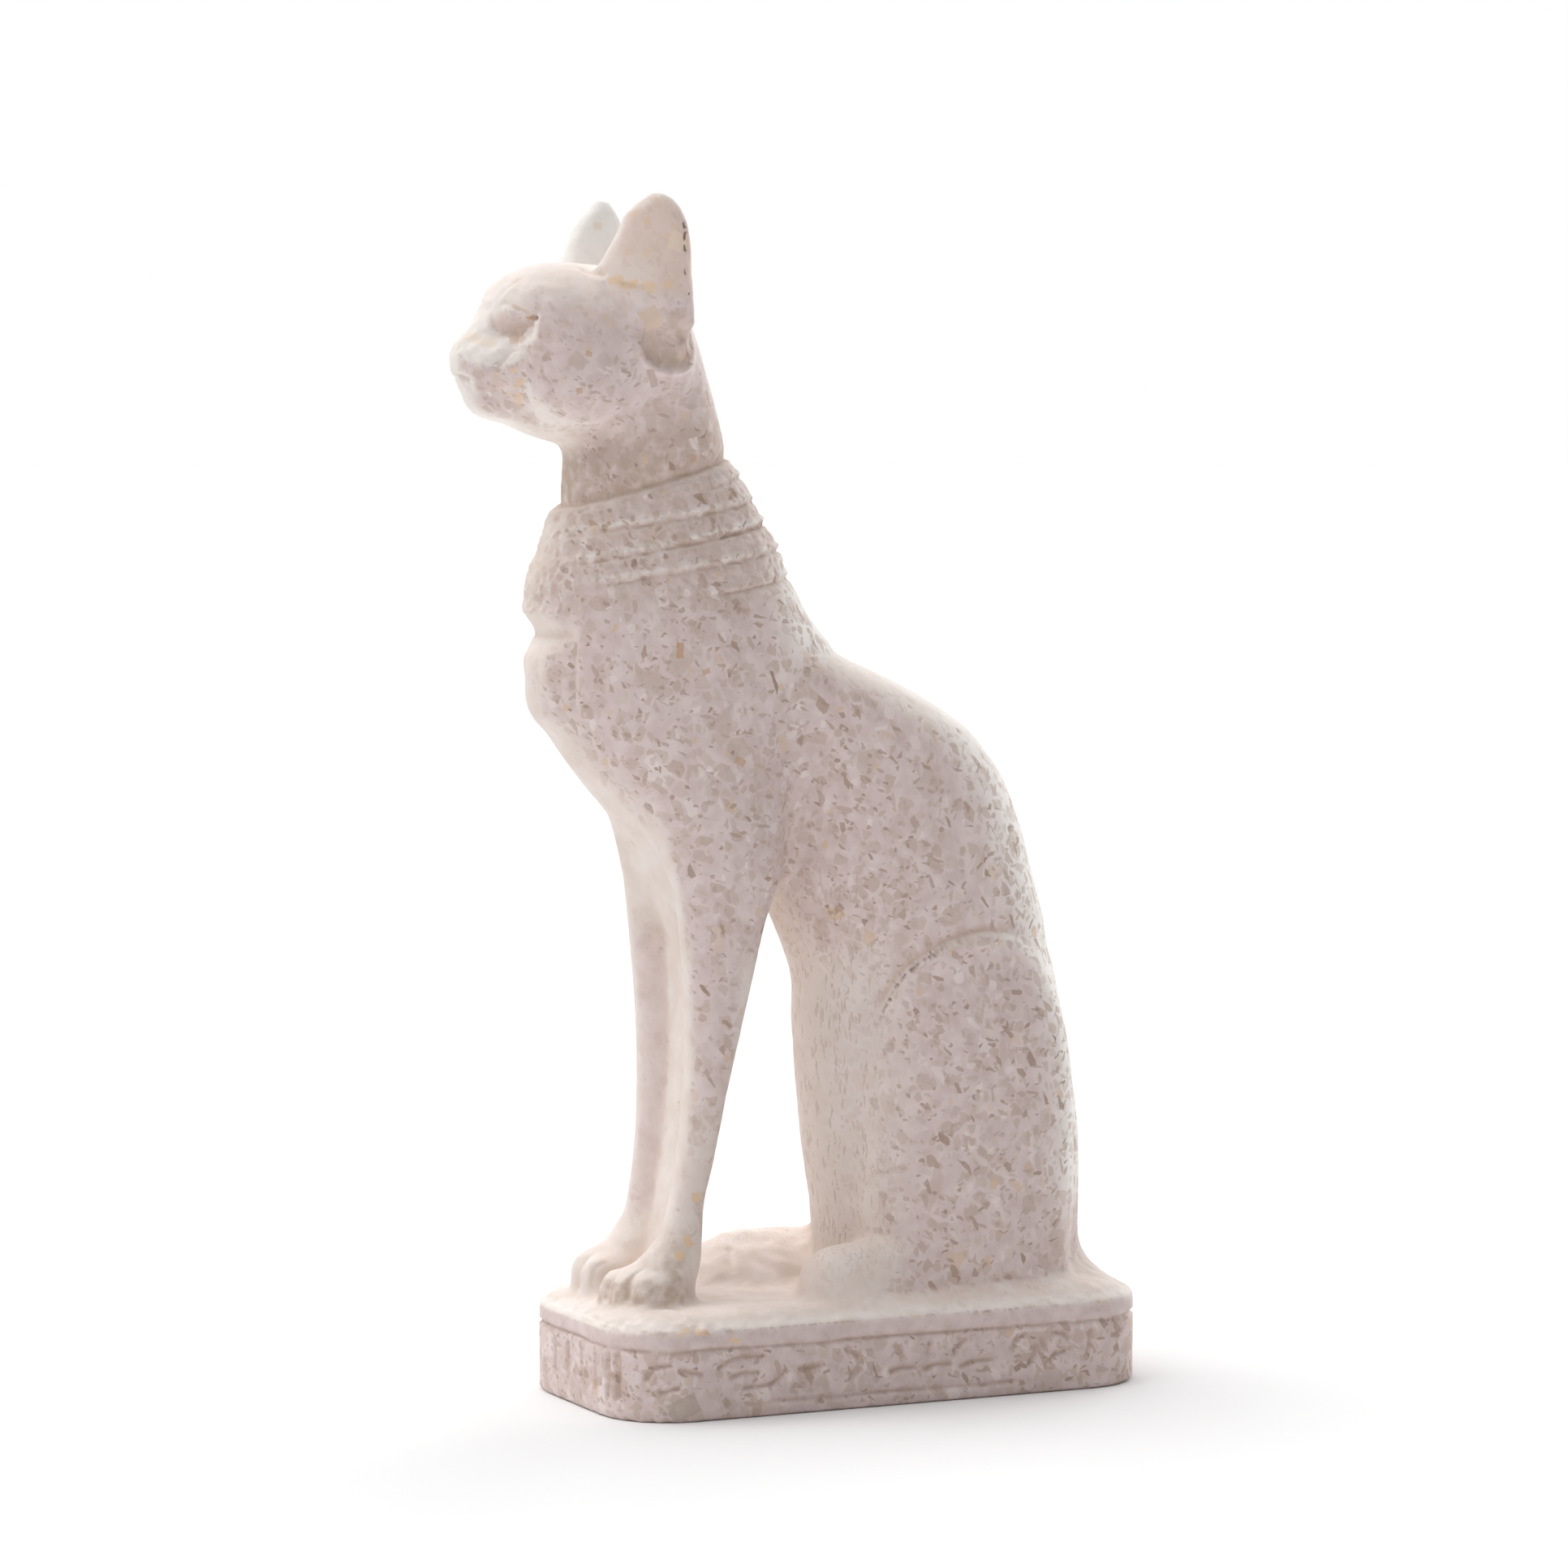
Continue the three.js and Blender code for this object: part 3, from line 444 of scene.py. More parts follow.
# The pendant hangs in front under the collar: a sunk field over it, and a low worn figure on it
front = step(-46, -49, along_y) * step(9.2, 7.4, side_x)
field = step(127.4, 126.7, height_z) * step(122.7, 123.6, height_z)
collar.lift -= 0.4 * front * field
collar.stroke([(8.4, -50.0, 121.4), (8.1, -50.0, 116.8), (7.5, -49.8, 111.8)], 0.9, -0.4)
collar.mound((0, -54.8, 117.6), (3.4, 3, 3.6), 0.45)
collar.mound((4.6, -53.6, 118.6), (2.2, 3, 3.0), 0.3)
collar.stroke([(1.2, -55, 122.4), (3.4, -54, 121.2), (6.6, -52, 121.8)], 0.7, -0.3)
collar.stroke([(2.2, -55, 115.4), (4.4, -54, 114.2), (6.8, -52, 115.4)], 0.7, -0.3)
collar.stroke([(1.4, -55, 112.6), (3.4, -54, 111.4), (6.2, -52, 111.8)], 0.8, -0.3)
collar.cut()

# Haunches: the thigh is a raised round shield, crisp above and in front, lost behind
haunch = Carving()
side_x, along_y, height_z = haunch.places.T
THIGH_EDGE = [
    (0.6, 58.0), (1.6, 61.6), (3.4, 65.7), (5.6, 68.9), (8.9, 71.3), (12.8, 73.2), (17.9, 74.4),
    (22.6, 74.3), (27.0, 72.6), (29.8, 69.9),
]
on_thigh = (side_x > 6) & (height_z > 45) & (height_z < 90) & (along_y > -12) & (along_y < 38)
haunch.brink(np.flatnonzero(on_thigh), THIGH_EDGE, (17, 40), (0.75, 4.5), (1.25, 3.4), 0.8, 0.2, 0.35)
haunch.cut()

# Paws: shallow grooves part the toes, in front and behind, and a fine casting line crosses the
# left foreleg
paws = Carving()
for toe_groove in (
    [(5.9, -39.6, 23.2), (6.0, -42.2, 21.8), (6.2, -43.6, 19.8), (6.3, -43.9, 17.4)],
    [(9.6, -38.4, 23.2), (10.1, -41.0, 21.8), (10.7, -41.9, 19.6), (10.9, -42.0, 17.4)],
    [(2.0, -39.6, 22.6), (1.8, -42.4, 21.2), (1.7, -43.2, 17.6)],
):
    paws.stroke(toe_groove, 0.7, -0.35, ends=0.15)
paws.cut()
legs = Carving(one_side=True)
CASTING_LINE = [(9.0, -33.0, 50.6), (11.4, -31.2, 50.5), (13.8, -28.4, 50.2), (14.2, -25.6, 50.0)]
legs.stroke(CASTING_LINE, 0.35, -0.14)
for right_hind_groove in (
    [(-9.4, -15.2, 22.2), (-6.6, -16.3, 20.4), (-4.0, -17.0, 18.2)],
    [(-7.6, -18.4, 21.4), (-5.4, -19.2, 19.6), (-3.4, -19.6, 17.6)],
):
    legs.stroke(right_hind_groove, 1.0, -0.3)
LEFT_HIND_GROOVE = [(14.6, -10.2, 24.0), (11.6, -11.4, 22.6), (10.4, -12.2, 20.6), (10.9, -12.6, 18.2)]
legs.stroke(LEFT_HIND_GROOVE, 0.7, -0.45)
legs.cut()

# Plinth walls: an incised line all round under the rim and a worn one near the foot, and
# between them a row of shallow strokes
walls = Carving(one_side=True)
STRAIGHT = HALF_LENGTH - CORNER
ARC = CORNER * math.pi / 2
wall = np.flatnonzero((walls.points[:, 2] < WALL_TOP + 0.3) & (wall_depth(walls.points) < 0.6))
x, y, z = walls.points[wall].T
turn = np.arctan2(np.abs(y) - STRAIGHT, np.abs(x) - HALF_WIDTH + CORNER)
end_run = STRAIGHT + ARC + HALF_WIDTH - CORNER - np.abs(x)
corner_run = np.where(np.abs(x) > HALF_WIDTH - CORNER, STRAIGHT + CORNER * turn, end_run)
run = np.where(np.abs(y) < STRAIGHT, np.abs(y), corner_run) * np.sign(y)
left = x > 0
wall_lift = np.zeros(len(wall))
wobble = np.array([noise.noise(Vector(p) / 7) for p in walls.points[wall]])


def wall_stroke(path, side, along=None, half_width=0.7, depth=0.75):
    """A shallow stroke on the wall with raised lips, drawn in lengths along it and heights."""
    along = run if along is None else along
    curve = smooth_path(path) if len(path) > 2 else np.array(path, float)
    here = np.flatnonzero(side & (along > curve[:, 0].min() - 2) & (along < curve[:, 0].max() + 2))
    gap, _ = path_gap(np.stack([along[here], z[here]], axis=1), curve)
    across = gap / half_width
    wall_lift[here] -= depth * np.maximum(1 - across ** 2, 0) ** 1.5
    wall_lift[here] += 0.3 * depth * np.maximum(1 - (across - 1.6) ** 2 / 0.36, 0)


BORDER = 11.3
FOOT_LINE = 2.4
FOOT_LINE_HALF = 24.5
worn = np.clip(0.9 + 0.9 * wobble, 0.3, 1)
foot_line_kept = step(FOOT_LINE_HALF, FOOT_LINE_HALF - 5, np.abs(y)) * (np.abs(x) > HALF_WIDTH - 1)
for border, depth in ((BORDER, 0.65 * worn), (FOOT_LINE, 0.55 * worn * foot_line_kept)):
    off = (z - border - 0.25 * wobble) / 0.6
    wall_lift -= depth * np.maximum(1 - off ** 2, 0) ** 1.5
    wall_lift += 0.35 * depth * np.maximum(1 - (off + 1.7) ** 2, 0)

# Strokes on the left side, from front to back: lengths along the wall from its middle, heights
LEFT_STROKES = [
    [(-51.4, 3.8), (-51.3, 10.2)], [(-48.9, 3.8), (-48.9, 10.2)],
    [(-43.8, 7.0), (-42.4, 8.8), (-40.0, 9.2)], [(-41.2, 5.0), (-38.6, 5.5)], [(-37.8, 8.3), (-34.8, 7.6)],
    [(-31.6, 8.4), (-28.6, 9.9), (-23.8, 9.9)], [(-29.4, 6.8), (-27.2, 7.3), (-25.0, 7.2)],
    [(-27.0, 4.9), (-22.6, 5.2), (-20.0, 7.0)], [(-17.4, 7.2), (-13.8, 7.6)],
    [(-9.4, 9.9), (-6.8, 8.0), (-8.4, 5.0)],
    [(-1.4, 5.6), (0.6, 6.1), (2.6, 6.0)], [(4.8, 5.6), (6.8, 6.2), (9.0, 6.1)],
    [(11.4, 5.6), (13.8, 6.2), (16.6, 6.2)],
    [(0.4, 8.2), (-0.6, 9.8)], [(5.2, 8.2), (5.6, 9.8)], [(10.0, 8.2), (11.8, 9.8)],
    [(20.6, 7.8), (21.2, 9.2), (22.4, 9.9)], [(23.6, 5.0), (24.4, 6.2), (24.6, 7.6)],
    [(28.0, 9.9), (29.8, 9.6), (30.6, 8.6)], [(27.4, 5.4), (28.4, 6.3), (30.0, 6.6)],
    [(34.8, 9.8), (34.6, 7.6), (34.0, 5.4)],
]
for path in LEFT_STROKES:
    wall_stroke(path, left)
# Strokes on the right side, all alike and slanting, and uprights on the front end
PLAIN_PITCH = 7
PLAIN_SLANT = 1.4
PANEL_LOW = 4.5
PANEL_HIGH = 9.7
PLAIN_EACH_WAY = 4
for count in range(-PLAIN_EACH_WAY, PLAIN_EACH_WAY + 1):
    place = count * PLAIN_PITCH
    wall_stroke([(place + PLAIN_SLANT, PANEL_LOW), (place - PLAIN_SLANT, PANEL_HIGH)], ~left)
front_end = (y < 0) & (np.abs(y) > HALF_LENGTH - 1.5)
FRONT_STROKES = (-7, -1.5, 4, 9.5)
for place in FRONT_STROKES:
    wall_stroke([(place, PANEL_LOW), (place, PANEL_HIGH)], front_end, along=x)
walls.points[wall, :2] += wall_facing(walls.points[wall]) * wall_lift[:, None]
write_points(walls.points)

# Hand finish: faint unevenness everywhere, more on the plinth's rim, the paws and the face, and
# small casting pits
finish = Carving(one_side=True)
x, y, z = finish.points.T
AWAY = Vector((9, 9, 9))
wide_grain = np.array([noise.noise(Vector(p) / 4.5) for p in finish.points])
fine_grain = np.array([noise.noise(Vector(p) / 1.5 + AWAY) for p in finish.points])
rim_share = np.exp(-((z - RIM) / 1.0) ** 2) * step(3.0, 1.2, wall_depth(finish.points))
rough = step(19, 17, z) * (z > RIM) + step(-32, -36, y) * step(28, 24, z)
chipped = step(-52, -57, y) * step(161, 164, z) * step(183, 179, z)
lumps = np.array([noise.noise(Vector(p) / 2.8 + AWAY) for p in finish.points])
far_foot = step(0, -2, x) * step(-24, -21, y) * step(16, 18, z) * step(27, 24, z) * step(8, 0, y)
finish.lift += 0.45 * lumps * far_foot
finish.lift += chipped * (0.2 * lumps + 0.16 * fine_grain)
finish.lift += 0.07 * wide_grain + (0.04 + 0.1 * rough) * fine_grain
finish.lift += rim_share * (0.12 * fine_grain + 0.14 * wide_grain)
PIT_SEED = 7
PITS = 90
draw = np.random.default_rng(PIT_SEED)
for pit in draw.choice(len(finish.points), PITS, replace=False):
    radius = draw.uniform(0.45, 0.85)
    if finish.points[pit, 2] > 1.0:
        finish.mound(finish.points[pit], (radius, radius, radius), -draw.uniform(0.2, 0.4))
finish.cut()

# What the stone shows from place to place: how far it is rubbed, how many chips come through,
# how deep it lies, where it is white or painted with light and highlights, where it is streaked,
# and where it is stained or painted with shade
points = read_points()
normals = read_normals()
x, y, z = points.T
outward = normals[:, 0] * np.sign(x)
deep = soften(points, 30, np.full(len(points), 0.5))
wide = soften(deep, 90, np.full(len(points), 0.5))
# hollow and valley: how deep each place lies in small and in broad hollows, read for ochre and painted
# shade
hollow = ((deep - points) * normals).sum(axis=1)
valley = ((wide - points) * normals).sum(axis=1)
wall_share = (z < RIM - 1) & (wall_depth(points) < 1)
rubbed = step(0.2, 0.75, outward) * (1 - 0.85 * step(0.3, 0.7, normals[:, 2]))
rubbed = np.maximum(rubbed, 0.35 * step(0.2, 0.8, normals[:, 1]) * step(0.6, 0.2, normals[:, 2]))
rubbed *= 1 - 0.9 * step(28, 24, z) * (z > RIM - 0.3) * step(6, -2, y)
rubbed *= 1 - 0.7 * step(-22, -30, y) * step(60, 40, z) * (z > RIM)
# Painted shade: the far foreleg's inner face gets plain binder with hardly any chips, a tone darker, as in
# the shade between the legs
far_leg = (x < 0) * step(-20, -23, y) * step(26, 34, z) * step(80, 72, z) * step(0, 0.5, normals[:, 0])
rubbed = np.maximum(rubbed, 0.75 * far_leg)
belly_side = step(9, -7, y) * step(-26, -22, y) * step(22, 30, z) * step(76, 68, z)
rubbed *= 1 - 0.6 * belly_side
pad = np.hypot((y + 62.8) / 4.2, (z - 168.5) / 2.6)
rubbed *= 1 - 0.9 * step(1.15, 0.85, pad)
eye = np.hypot((y + 59.0) / 3.0, (z - 173.0) / 1.8)
face_front = step(-56.5, -59.5, y) * step(166, 169, z) * step(1.0, 1.3, eye)
rubbed *= (1 - 0.65 * face_front) * (1 - 0.6 * step(172, 181, z) * step(-37, -41, y) * step(185, 181, z))
rubbed = np.maximum(rubbed, 0.95 * wall_share)
ear_face = step(176, 180, z) * step(0.2, 0.6, outward) * step(-46, -44, y)
nape_line = band_line(points, *COLLAR_TOP)
neck = step(15, 3, nape_line) * step(-0.8, 0, nape_line) * step(-6, -10, y) * (z < 165)
bands = step(0, -1, nape_line) * step(126, 130, z) * step(-6, -10, y)
chips_seen = rubbed * (1 - 0.85 * wall_share * step(11.0, 11.8, z)) * (1 - 0.7 * ear_face)
chips_seen *= 1 - 0.25 * step(154, 160, z) - 0.35 * step(166, 173, z)
chips_seen *= (1 - 0.9 * far_leg) * (1 - 0.8 * belly_side)
bowl = bowl_share(points)
rim_seen = np.exp(-((z - RIM) / 0.9) ** 2) * step(3, 1, wall_depth(points))
in_bowl = step(1.05, 0.95, bowl) * (np.abs(x) > 6)
# Painted light: the far ear is whitened in full; elsewhere the head is whiter below the brow than above it
head_bright = np.where((x < -5) & (z > 178), 1, 0.5 - 0.35 * step(172, 178, z))
bright = step(150, 158, z) * (1 - rubbed) * (1 - in_bowl) * head_bright
# Painted light: surfaces of the body facing backwards are whitened as a rim of light
back = step(0.1, 0.7, normals[:, 1]) * step(24, 34, z) * step(140, 130, z)
bright = np.maximum(bright, 0.85 * back * step(-20, -14, y - 32 * step(116, 102, z)))
# Painted highlights: a white line along the lower lip of each collar groove
for line, depth, worn_from, worn_to in BANDS:
    over_line = band_line(points, *line)
    ridge = np.exp(-((over_line - 1.0) / 0.45) ** 2) * step(worn_from, worn_to, y) * step(-6, -10, y)
    bright = np.maximum(bright, 1.4 * depth * ridge)
# Painted light: the belly between the legs is whitened a little, standing in for light thrown back by the
# legs
bright = np.maximum(bright, 0.3 * belly_side)
# Painted highlight: a white band along the plinth's rounded rim
bright = np.maximum(bright, 0.4 * rim_seen)
streaked = step(6, -2, y) * step(-26, -18, y) * step(18, 26, z) * step(92, 80, z)
# On the near forepaw, kept off its upward faces: partly a stain, partly painted shade on its sides
stain_and_shade = step(32, 20, z) * (z > RIM - 0.5) * step(-30, -34, y) * step(1, 4, x)
stain_and_shade *= step(0.9, 0.3, normals[:, 2])
# Painted shade on the neck under the head, over its dense chips; the collar bands a little darker; the bowl
# under the ear stained by its brown chips
for dark_place in (neck, 0.35 * bands, 0.7 * in_bowl):
    stain_and_shade = np.maximum(stain_and_shade, dark_place)
for name, values in (
    ("rubbed", rubbed), ("chips_seen", chips_seen), ("ear_face", ear_face), ("bright", bright),
    ("hollow", step(0.03, 0.4, hollow)), ("valley", step(0.15, 1.1, valley)),
    ("streaked", streaked), ("stain_and_shade", stain_and_shade),
):
    layer_data = cast.data.attributes.new(name, "FLOAT", "POINT")
    layer_data.data.foreach_set("value", values.astype(np.float32))

# Flat places need fewer faces than the carving, and nothing may reach past the solid's box
MOST_TRIANGLES = 194000
cast.data.calc_loop_triangles()
bpy.ops.object.modifier_add(type="DECIMATE")
cast.modifiers[-1].ratio = min(1, MOST_TRIANGLES / len(cast.data.loop_triangles))
bpy.ops.object.modifier_apply(modifier=cast.modifiers[-1].name)
points = read_points()
over = np.minimum(wall_depth(points), 0) * (points[:, 2] < RIM + 1)
points[:, :2] += wall_facing(points) * over[:, None]
write_points(np.clip(points, np.array(low_corner) / MM, np.array(high_corner) / MM))
bpy.ops.object.shade_smooth()

# The stone: pinkish binder where it is rubbed, with angular chips of several sizes in every
# direction; a matte cream skin where it isn't, whiter in places and with painted light and
# highlights; ochre in the recesses, partly painted shade; painted shade in hollows, under the head
# and in nicks.
stone = bpy.data.materials.new("composite_stone")
stone.use_nodes = True
nodes, links = stone.node_tree.nodes, stone.node_tree.links
shader = nodes["Principled BSDF"]


def chip_layer_group():
    """Angular stone chips in binder: a mask of the chips, and two numbers for each chip."""
    group = bpy.data.node_groups.new("stone_chips", "ShaderNodeTree")
    face = group.interface
    for name, kind, value in (
        ("Place mm", "NodeSocketVector", None), ("Turn", "NodeSocketVector", None),
        ("Size mm", "NodeSocketVector", None), ("Coverage", "NodeSocketFloat", 0.3),
        ("Gap", "NodeSocketFloat", 0.08),
    ):
        socket = face.new_socket(name, in_out="INPUT", socket_type=kind)
        if value is not None:
            socket.default_value = value
    for name in ("Chip", "Number", "Strength"):
        face.new_socket(name, in_out="OUTPUT", socket_type="NodeSocketFloat")
    add, join = group.nodes.new, group.links.new
    given, out = add("NodeGroupInput"), add("NodeGroupOutput")
    place = add("ShaderNodeMapping")
    place.vector_type = "TEXTURE"
    join(given.outputs["Place mm"], place.inputs["Vector"])
    join(given.outputs["Turn"], place.inputs["Rotation"])
    join(given.outputs["Size mm"], place.inputs["Scale"])
    cells, edges = add("ShaderNodeTexVoronoi"), add("ShaderNodeTexVoronoi")
    edges.feature = "DISTANCE_TO_EDGE"
    for voronoi in (cells, edges):
        voronoi.inputs["Scale"].default_value = 1
        join(place.outputs[0], voronoi.inputs["Vector"])
    parts = add("ShaderNodeSeparateColor")
    join(cells.outputs["Color"], parts.inputs[0])
    chosen = add("ShaderNodeMath")
    chosen.operation = "LESS_THAN"
    join(parts.outputs["Red"], chosen.inputs[0])
    join(given.outputs["Coverage"], chosen.inputs[1])
    body = add("ShaderNodeMapRange")
    body.interpolation_type = "SMOOTHSTEP"
    wider = add("ShaderNodeMath")
    wider.operation = "ADD"
    wider.inputs[1].default_value = 0.06
    join(given.outputs["Gap"], wider.inputs[0])
    join(edges.outputs["Distance"], body.inputs["Value"])
    join(given.outputs["Gap"], body.inputs["From Min"])
    join(wider.outputs[0], body.inputs["From Max"])
    chip = add("ShaderNodeMath")
    chip.operation = "MULTIPLY"
    join(chosen.outputs[0], chip.inputs[0])
    join(body.outputs["Result"], chip.inputs[1])
    join(chip.outputs[0], out.inputs["Chip"])
    join(parts.outputs["Green"], out.inputs["Number"])
    join(parts.outputs["Blue"], out.inputs["Strength"])
    return group


def lone_chip_group():
    """One square-cut chip at a given place: a mask with a ragged edge."""
    group = bpy.data.node_groups.new("lone_chip", "ShaderNodeTree")
    face = group.interface
    for name in ("Place mm", "Middle mm", "Turn", "Half size mm"):
        face.new_socket(name, in_out="INPUT", socket_type="NodeSocketVector")
    face.new_socket("Chip", in_out="OUTPUT", socket_type="NodeSocketFloat")
    add, join = group.nodes.new, group.links.new
    given, out = add("NodeGroupInput"), add("NodeGroupOutput")
    place = add("ShaderNodeMapping")
    place.vector_type = "TEXTURE"
    join(given.outputs["Place mm"], place.inputs["Vector"])
    join(given.outputs["Middle mm"], place.inputs["Location"])
    join(given.outputs["Turn"], place.inputs["Rotation"])
    join(given.outputs["Half size mm"], place.inputs["Scale"])
    away, parts = add("ShaderNodeVectorMath"), add("ShaderNodeSeparateXYZ")
    away.operation = "ABSOLUTE"
    join(place.outputs[0], away.inputs[0])
    join(away.outputs[0], parts.inputs[0])
    first, second = add("ShaderNodeMath"), add("ShaderNodeMath")
    first.operation = second.operation = "MAXIMUM"
    join(parts.outputs["X"], first.inputs[0])
    join(parts.outputs["Y"], first.inputs[1])
    join(first.outputs[0], second.inputs[0])
    join(parts.outputs["Z"], second.inputs[1])
    edge = add("ShaderNodeMapRange")
    edge.interpolation_type = "SMOOTHSTEP"
    edge.inputs["From Min"].default_value = 1.08
    edge.inputs["From Max"].default_value = 0.92
    join(second.outputs[0], edge.inputs["Value"])
    join(edge.outputs["Result"], out.inputs["Chip"])
    return group


# Places on the stone in mm, and the same places slightly bent for the chips' edges
BEND = 0.6
spot = nodes.new("ShaderNodeTexCoord")
in_mm = nodes.new("ShaderNodeVectorMath")
in_mm.operation = "SCALE"
in_mm.inputs["Scale"].default_value = 1 / MM
links.new(spot.outputs["Object"], in_mm.inputs[0])
bend = nodes.new("ShaderNodeTexNoise")
bend.inputs["Scale"].default_value = 0.7
bend.inputs["Detail"].default_value = 1
links.new(in_mm.outputs[0], bend.inputs["Vector"])
bent = nodes.new("ShaderNodeVectorMath")
bent.operation = "MULTIPLY_ADD"
bent.inputs[1].default_value = (BEND, BEND, BEND)
links.new(bend.outputs["Color"], bent.inputs[0])
links.new(in_mm.outputs[0], bent.inputs[2])


def maths(operation, first, second, third=None):
    """One calculation on two or three values, each a number or another node's output."""
    worker = nodes.new("ShaderNodeMath")
    worker.operation = operation
    for socket, value in zip(worker.inputs, (first, second, third)):
        if value is None:
            continue
        if isinstance(value, (int, float)):
            socket.default_value = value
        else:
            links.new(value, socket)
    return worker.outputs[0]


def blend(share, first, second):
    """The first colour turned into the second by a share of the way."""
    mixer = nodes.new("ShaderNodeMix")
    mixer.data_type = "RGBA"
    for socket, value in ((mixer.inputs[0], share), (mixer.inputs[6], first), (mixer.inputs[7], second)):
        if isinstance(value, (int, float, tuple)):
            socket.default_value = value
        else:
            links.new(value, socket)
    return mixer.outputs[2]


def mottle(scale, detail, low, high):
    """Cloudy share between two noise levels."""
    cloud = nodes.new("ShaderNodeTexNoise")
    cloud.inputs["Scale"].default_value = scale
    cloud.inputs["Detail"].default_value = detail
    links.new(in_mm.outputs[0], cloud.inputs["Vector"])
    spread = nodes.new("ShaderNodeMapRange")
    spread.inputs["From Min"].default_value = low
    spread.inputs["From Max"].default_value = high
    links.new(cloud.outputs["Fac"], spread.inputs["Value"])
    return spread.outputs["Result"]


def layer(name):
    """What was written on the cast's points under a name."""
    reader = nodes.new("ShaderNodeAttribute")
    reader.attribute_name = name
    return reader.outputs["Fac"]


rubbed_share = layer("rubbed")
BINDER_PINK = (0.685, 0.548, 0.525, 1)
BINDER_PALE = (0.780, 0.650, 0.630, 1)
MATTE_CREAM = (0.860, 0.775, 0.728, 1)
MATTE_WARM = (0.800, 0.695, 0.630, 1)
WHITE_AND_HIGHLIGHT = (0.960, 0.925, 0.885, 1)
EAR_PINK = (0.800, 0.640, 0.570, 1)
STAIN_AND_SHADE = (0.480, 0.345, 0.255, 1)
binder = blend(mottle(0.35, 3, 0.35, 0.65), BINDER_PINK, BINDER_PALE)
binder = blend(layer("ear_face"), binder, EAR_PINK)
matte = blend(mottle(0.22, 4, 0.35, 0.65), MATTE_WARM, MATTE_CREAM)
# The white skin, together with painted light and highlights, laid over the matte and the binder
colour = blend(layer("bright"), blend(rubbed_share, matte, binder), WHITE_AND_HIGHLIGHT)
# Stain and painted shade, mottled
stain_and_shade_share = maths("MULTIPLY", layer("stain_and_shade"), mottle(0.5, 3, 0.25, 0.6))
colour = blend(maths("MULTIPLY", stain_and_shade_share, 0.75), colour, STAIN_AND_SHADE)
BEIGE_CHIPS = [
    (0.00, (0.590, 0.460, 0.395, 1)), (0.35, (0.560, 0.425, 0.355, 1)),
    (0.60, (0.620, 0.485, 0.430, 1)), (0.84, (0.860, 0.760, 0.730, 1)),
    (0.95, (0.720, 0.520, 0.370, 1)),
]
BROWN_CHIPS = [
    (0.00, (0.460, 0.320, 0.250, 1)), (0.45, (0.400, 0.265, 0.200, 1)),
    (0.75, (0.530, 0.395, 0.325, 1)), (0.92, (0.360, 0.250, 0.190, 1)),
]
WARM_CHIPS = [
    (0.00, (0.820, 0.610, 0.450, 1)), (0.40, (0.760, 0.590, 0.470, 1)),
    (0.70, (0.840, 0.720, 0.640, 1)), (0.90, (0.860, 0.580, 0.370, 1)),
]
# Each layer: turn, cell size, share of cells with a chip, gap round it, strength, colours, mask
LAYERS = [
    ((0.3, 0.2, 0.1), (4.8, 4.6, 4.4), 0.20, 0.08, 0.62, BEIGE_CHIPS, "chips_seen"),
    ((1.1, 0.5, 0.7), (2.9, 2.1, 2.5), 0.50, 0.09, 0.78, BEIGE_CHIPS, "chips_seen"),
    ((0.2, 1.3, 0.4), (1.7, 1.3, 1.8), 0.43, 0.11, 0.78, BEIGE_CHIPS, "chips_seen"),
    ((0.5, 0.2, 0.3), (2.3, 1.4, 3.0), 0.11, 0.13, 1.00, BROWN_CHIPS, "chips_seen"),
    ((1.4, 0.9, 0.2), (1.0, 0.6, 2.6), 0.11, 0.11, 0.85, BROWN_CHIPS, "chips_seen"),
    ((2.4, 0.3, 1.2), (0.9, 0.55, 2.3), 0.11, 0.11, 0.85, BROWN_CHIPS, "chips_seen"),
    ((0.9, 0.1, 0.5), (2.2, 1.9, 2.0), 0.34, 0.08, 0.85, WARM_CHIPS, "ear_face"),
]
chips = chip_layer_group()


def chip_tint(number, colours):
    """One of the colours for each chip, by its number."""
    tint = nodes.new("ShaderNodeValToRGB")
    tint.color_ramp.interpolation = "CONSTANT"
    ramp = tint.color_ramp.elements
    while len(ramp) < len(colours):
        ramp.new(0.5)
    for element, (place, value) in zip(ramp, colours):
        element.position = place
        element.color = value
    links.new(number, tint.inputs["Fac"])
    return tint.outputs["Color"]


def chip_layer(turn, size, coverage, gap):
    """One layer of chips in the slightly bent places, so that no edge runs dead straight."""
    chip = nodes.new("ShaderNodeGroup")
    chip.node_tree = chips
    links.new(bent.outputs[0], chip.inputs["Place mm"])
    chip.inputs["Turn"].default_value = turn
    chip.inputs["Size mm"].default_value = size
    chip.inputs["Coverage"].default_value = coverage
    chip.inputs["Gap"].default_value = gap
    return chip.outputs


seen_where = {
    "ear_face": layer("ear_face"),
    "chips_seen": maths("MULTIPLY_ADD", layer("chips_seen"), 0.95, 0.05),
}
for turn, size, coverage, gap, most, colours, where in LAYERS:
    chip = chip_layer(turn, size, coverage, gap)
    strength = maths("MULTIPLY_ADD", chip["Strength"], 0.7 * most, 0.3 * most)
    seen = maths("MULTIPLY", maths("MULTIPLY", chip["Chip"], strength), seen_where[where])
    colour = blend(seen, colour, chip_tint(chip["Number"], colours))
streak = chip_layer((0.05, 0.03, 0.2), (0.36, 0.36, 2.6), 0.24, 0.1)
streak_seen = maths("MULTIPLY", maths("MULTIPLY", streak["Chip"], layer("streaked")), 0.42)
STREAK_BROWN = (0.480, 0.360, 0.270, 1)
colour = blend(streak_seen, colour, STREAK_BROWN)
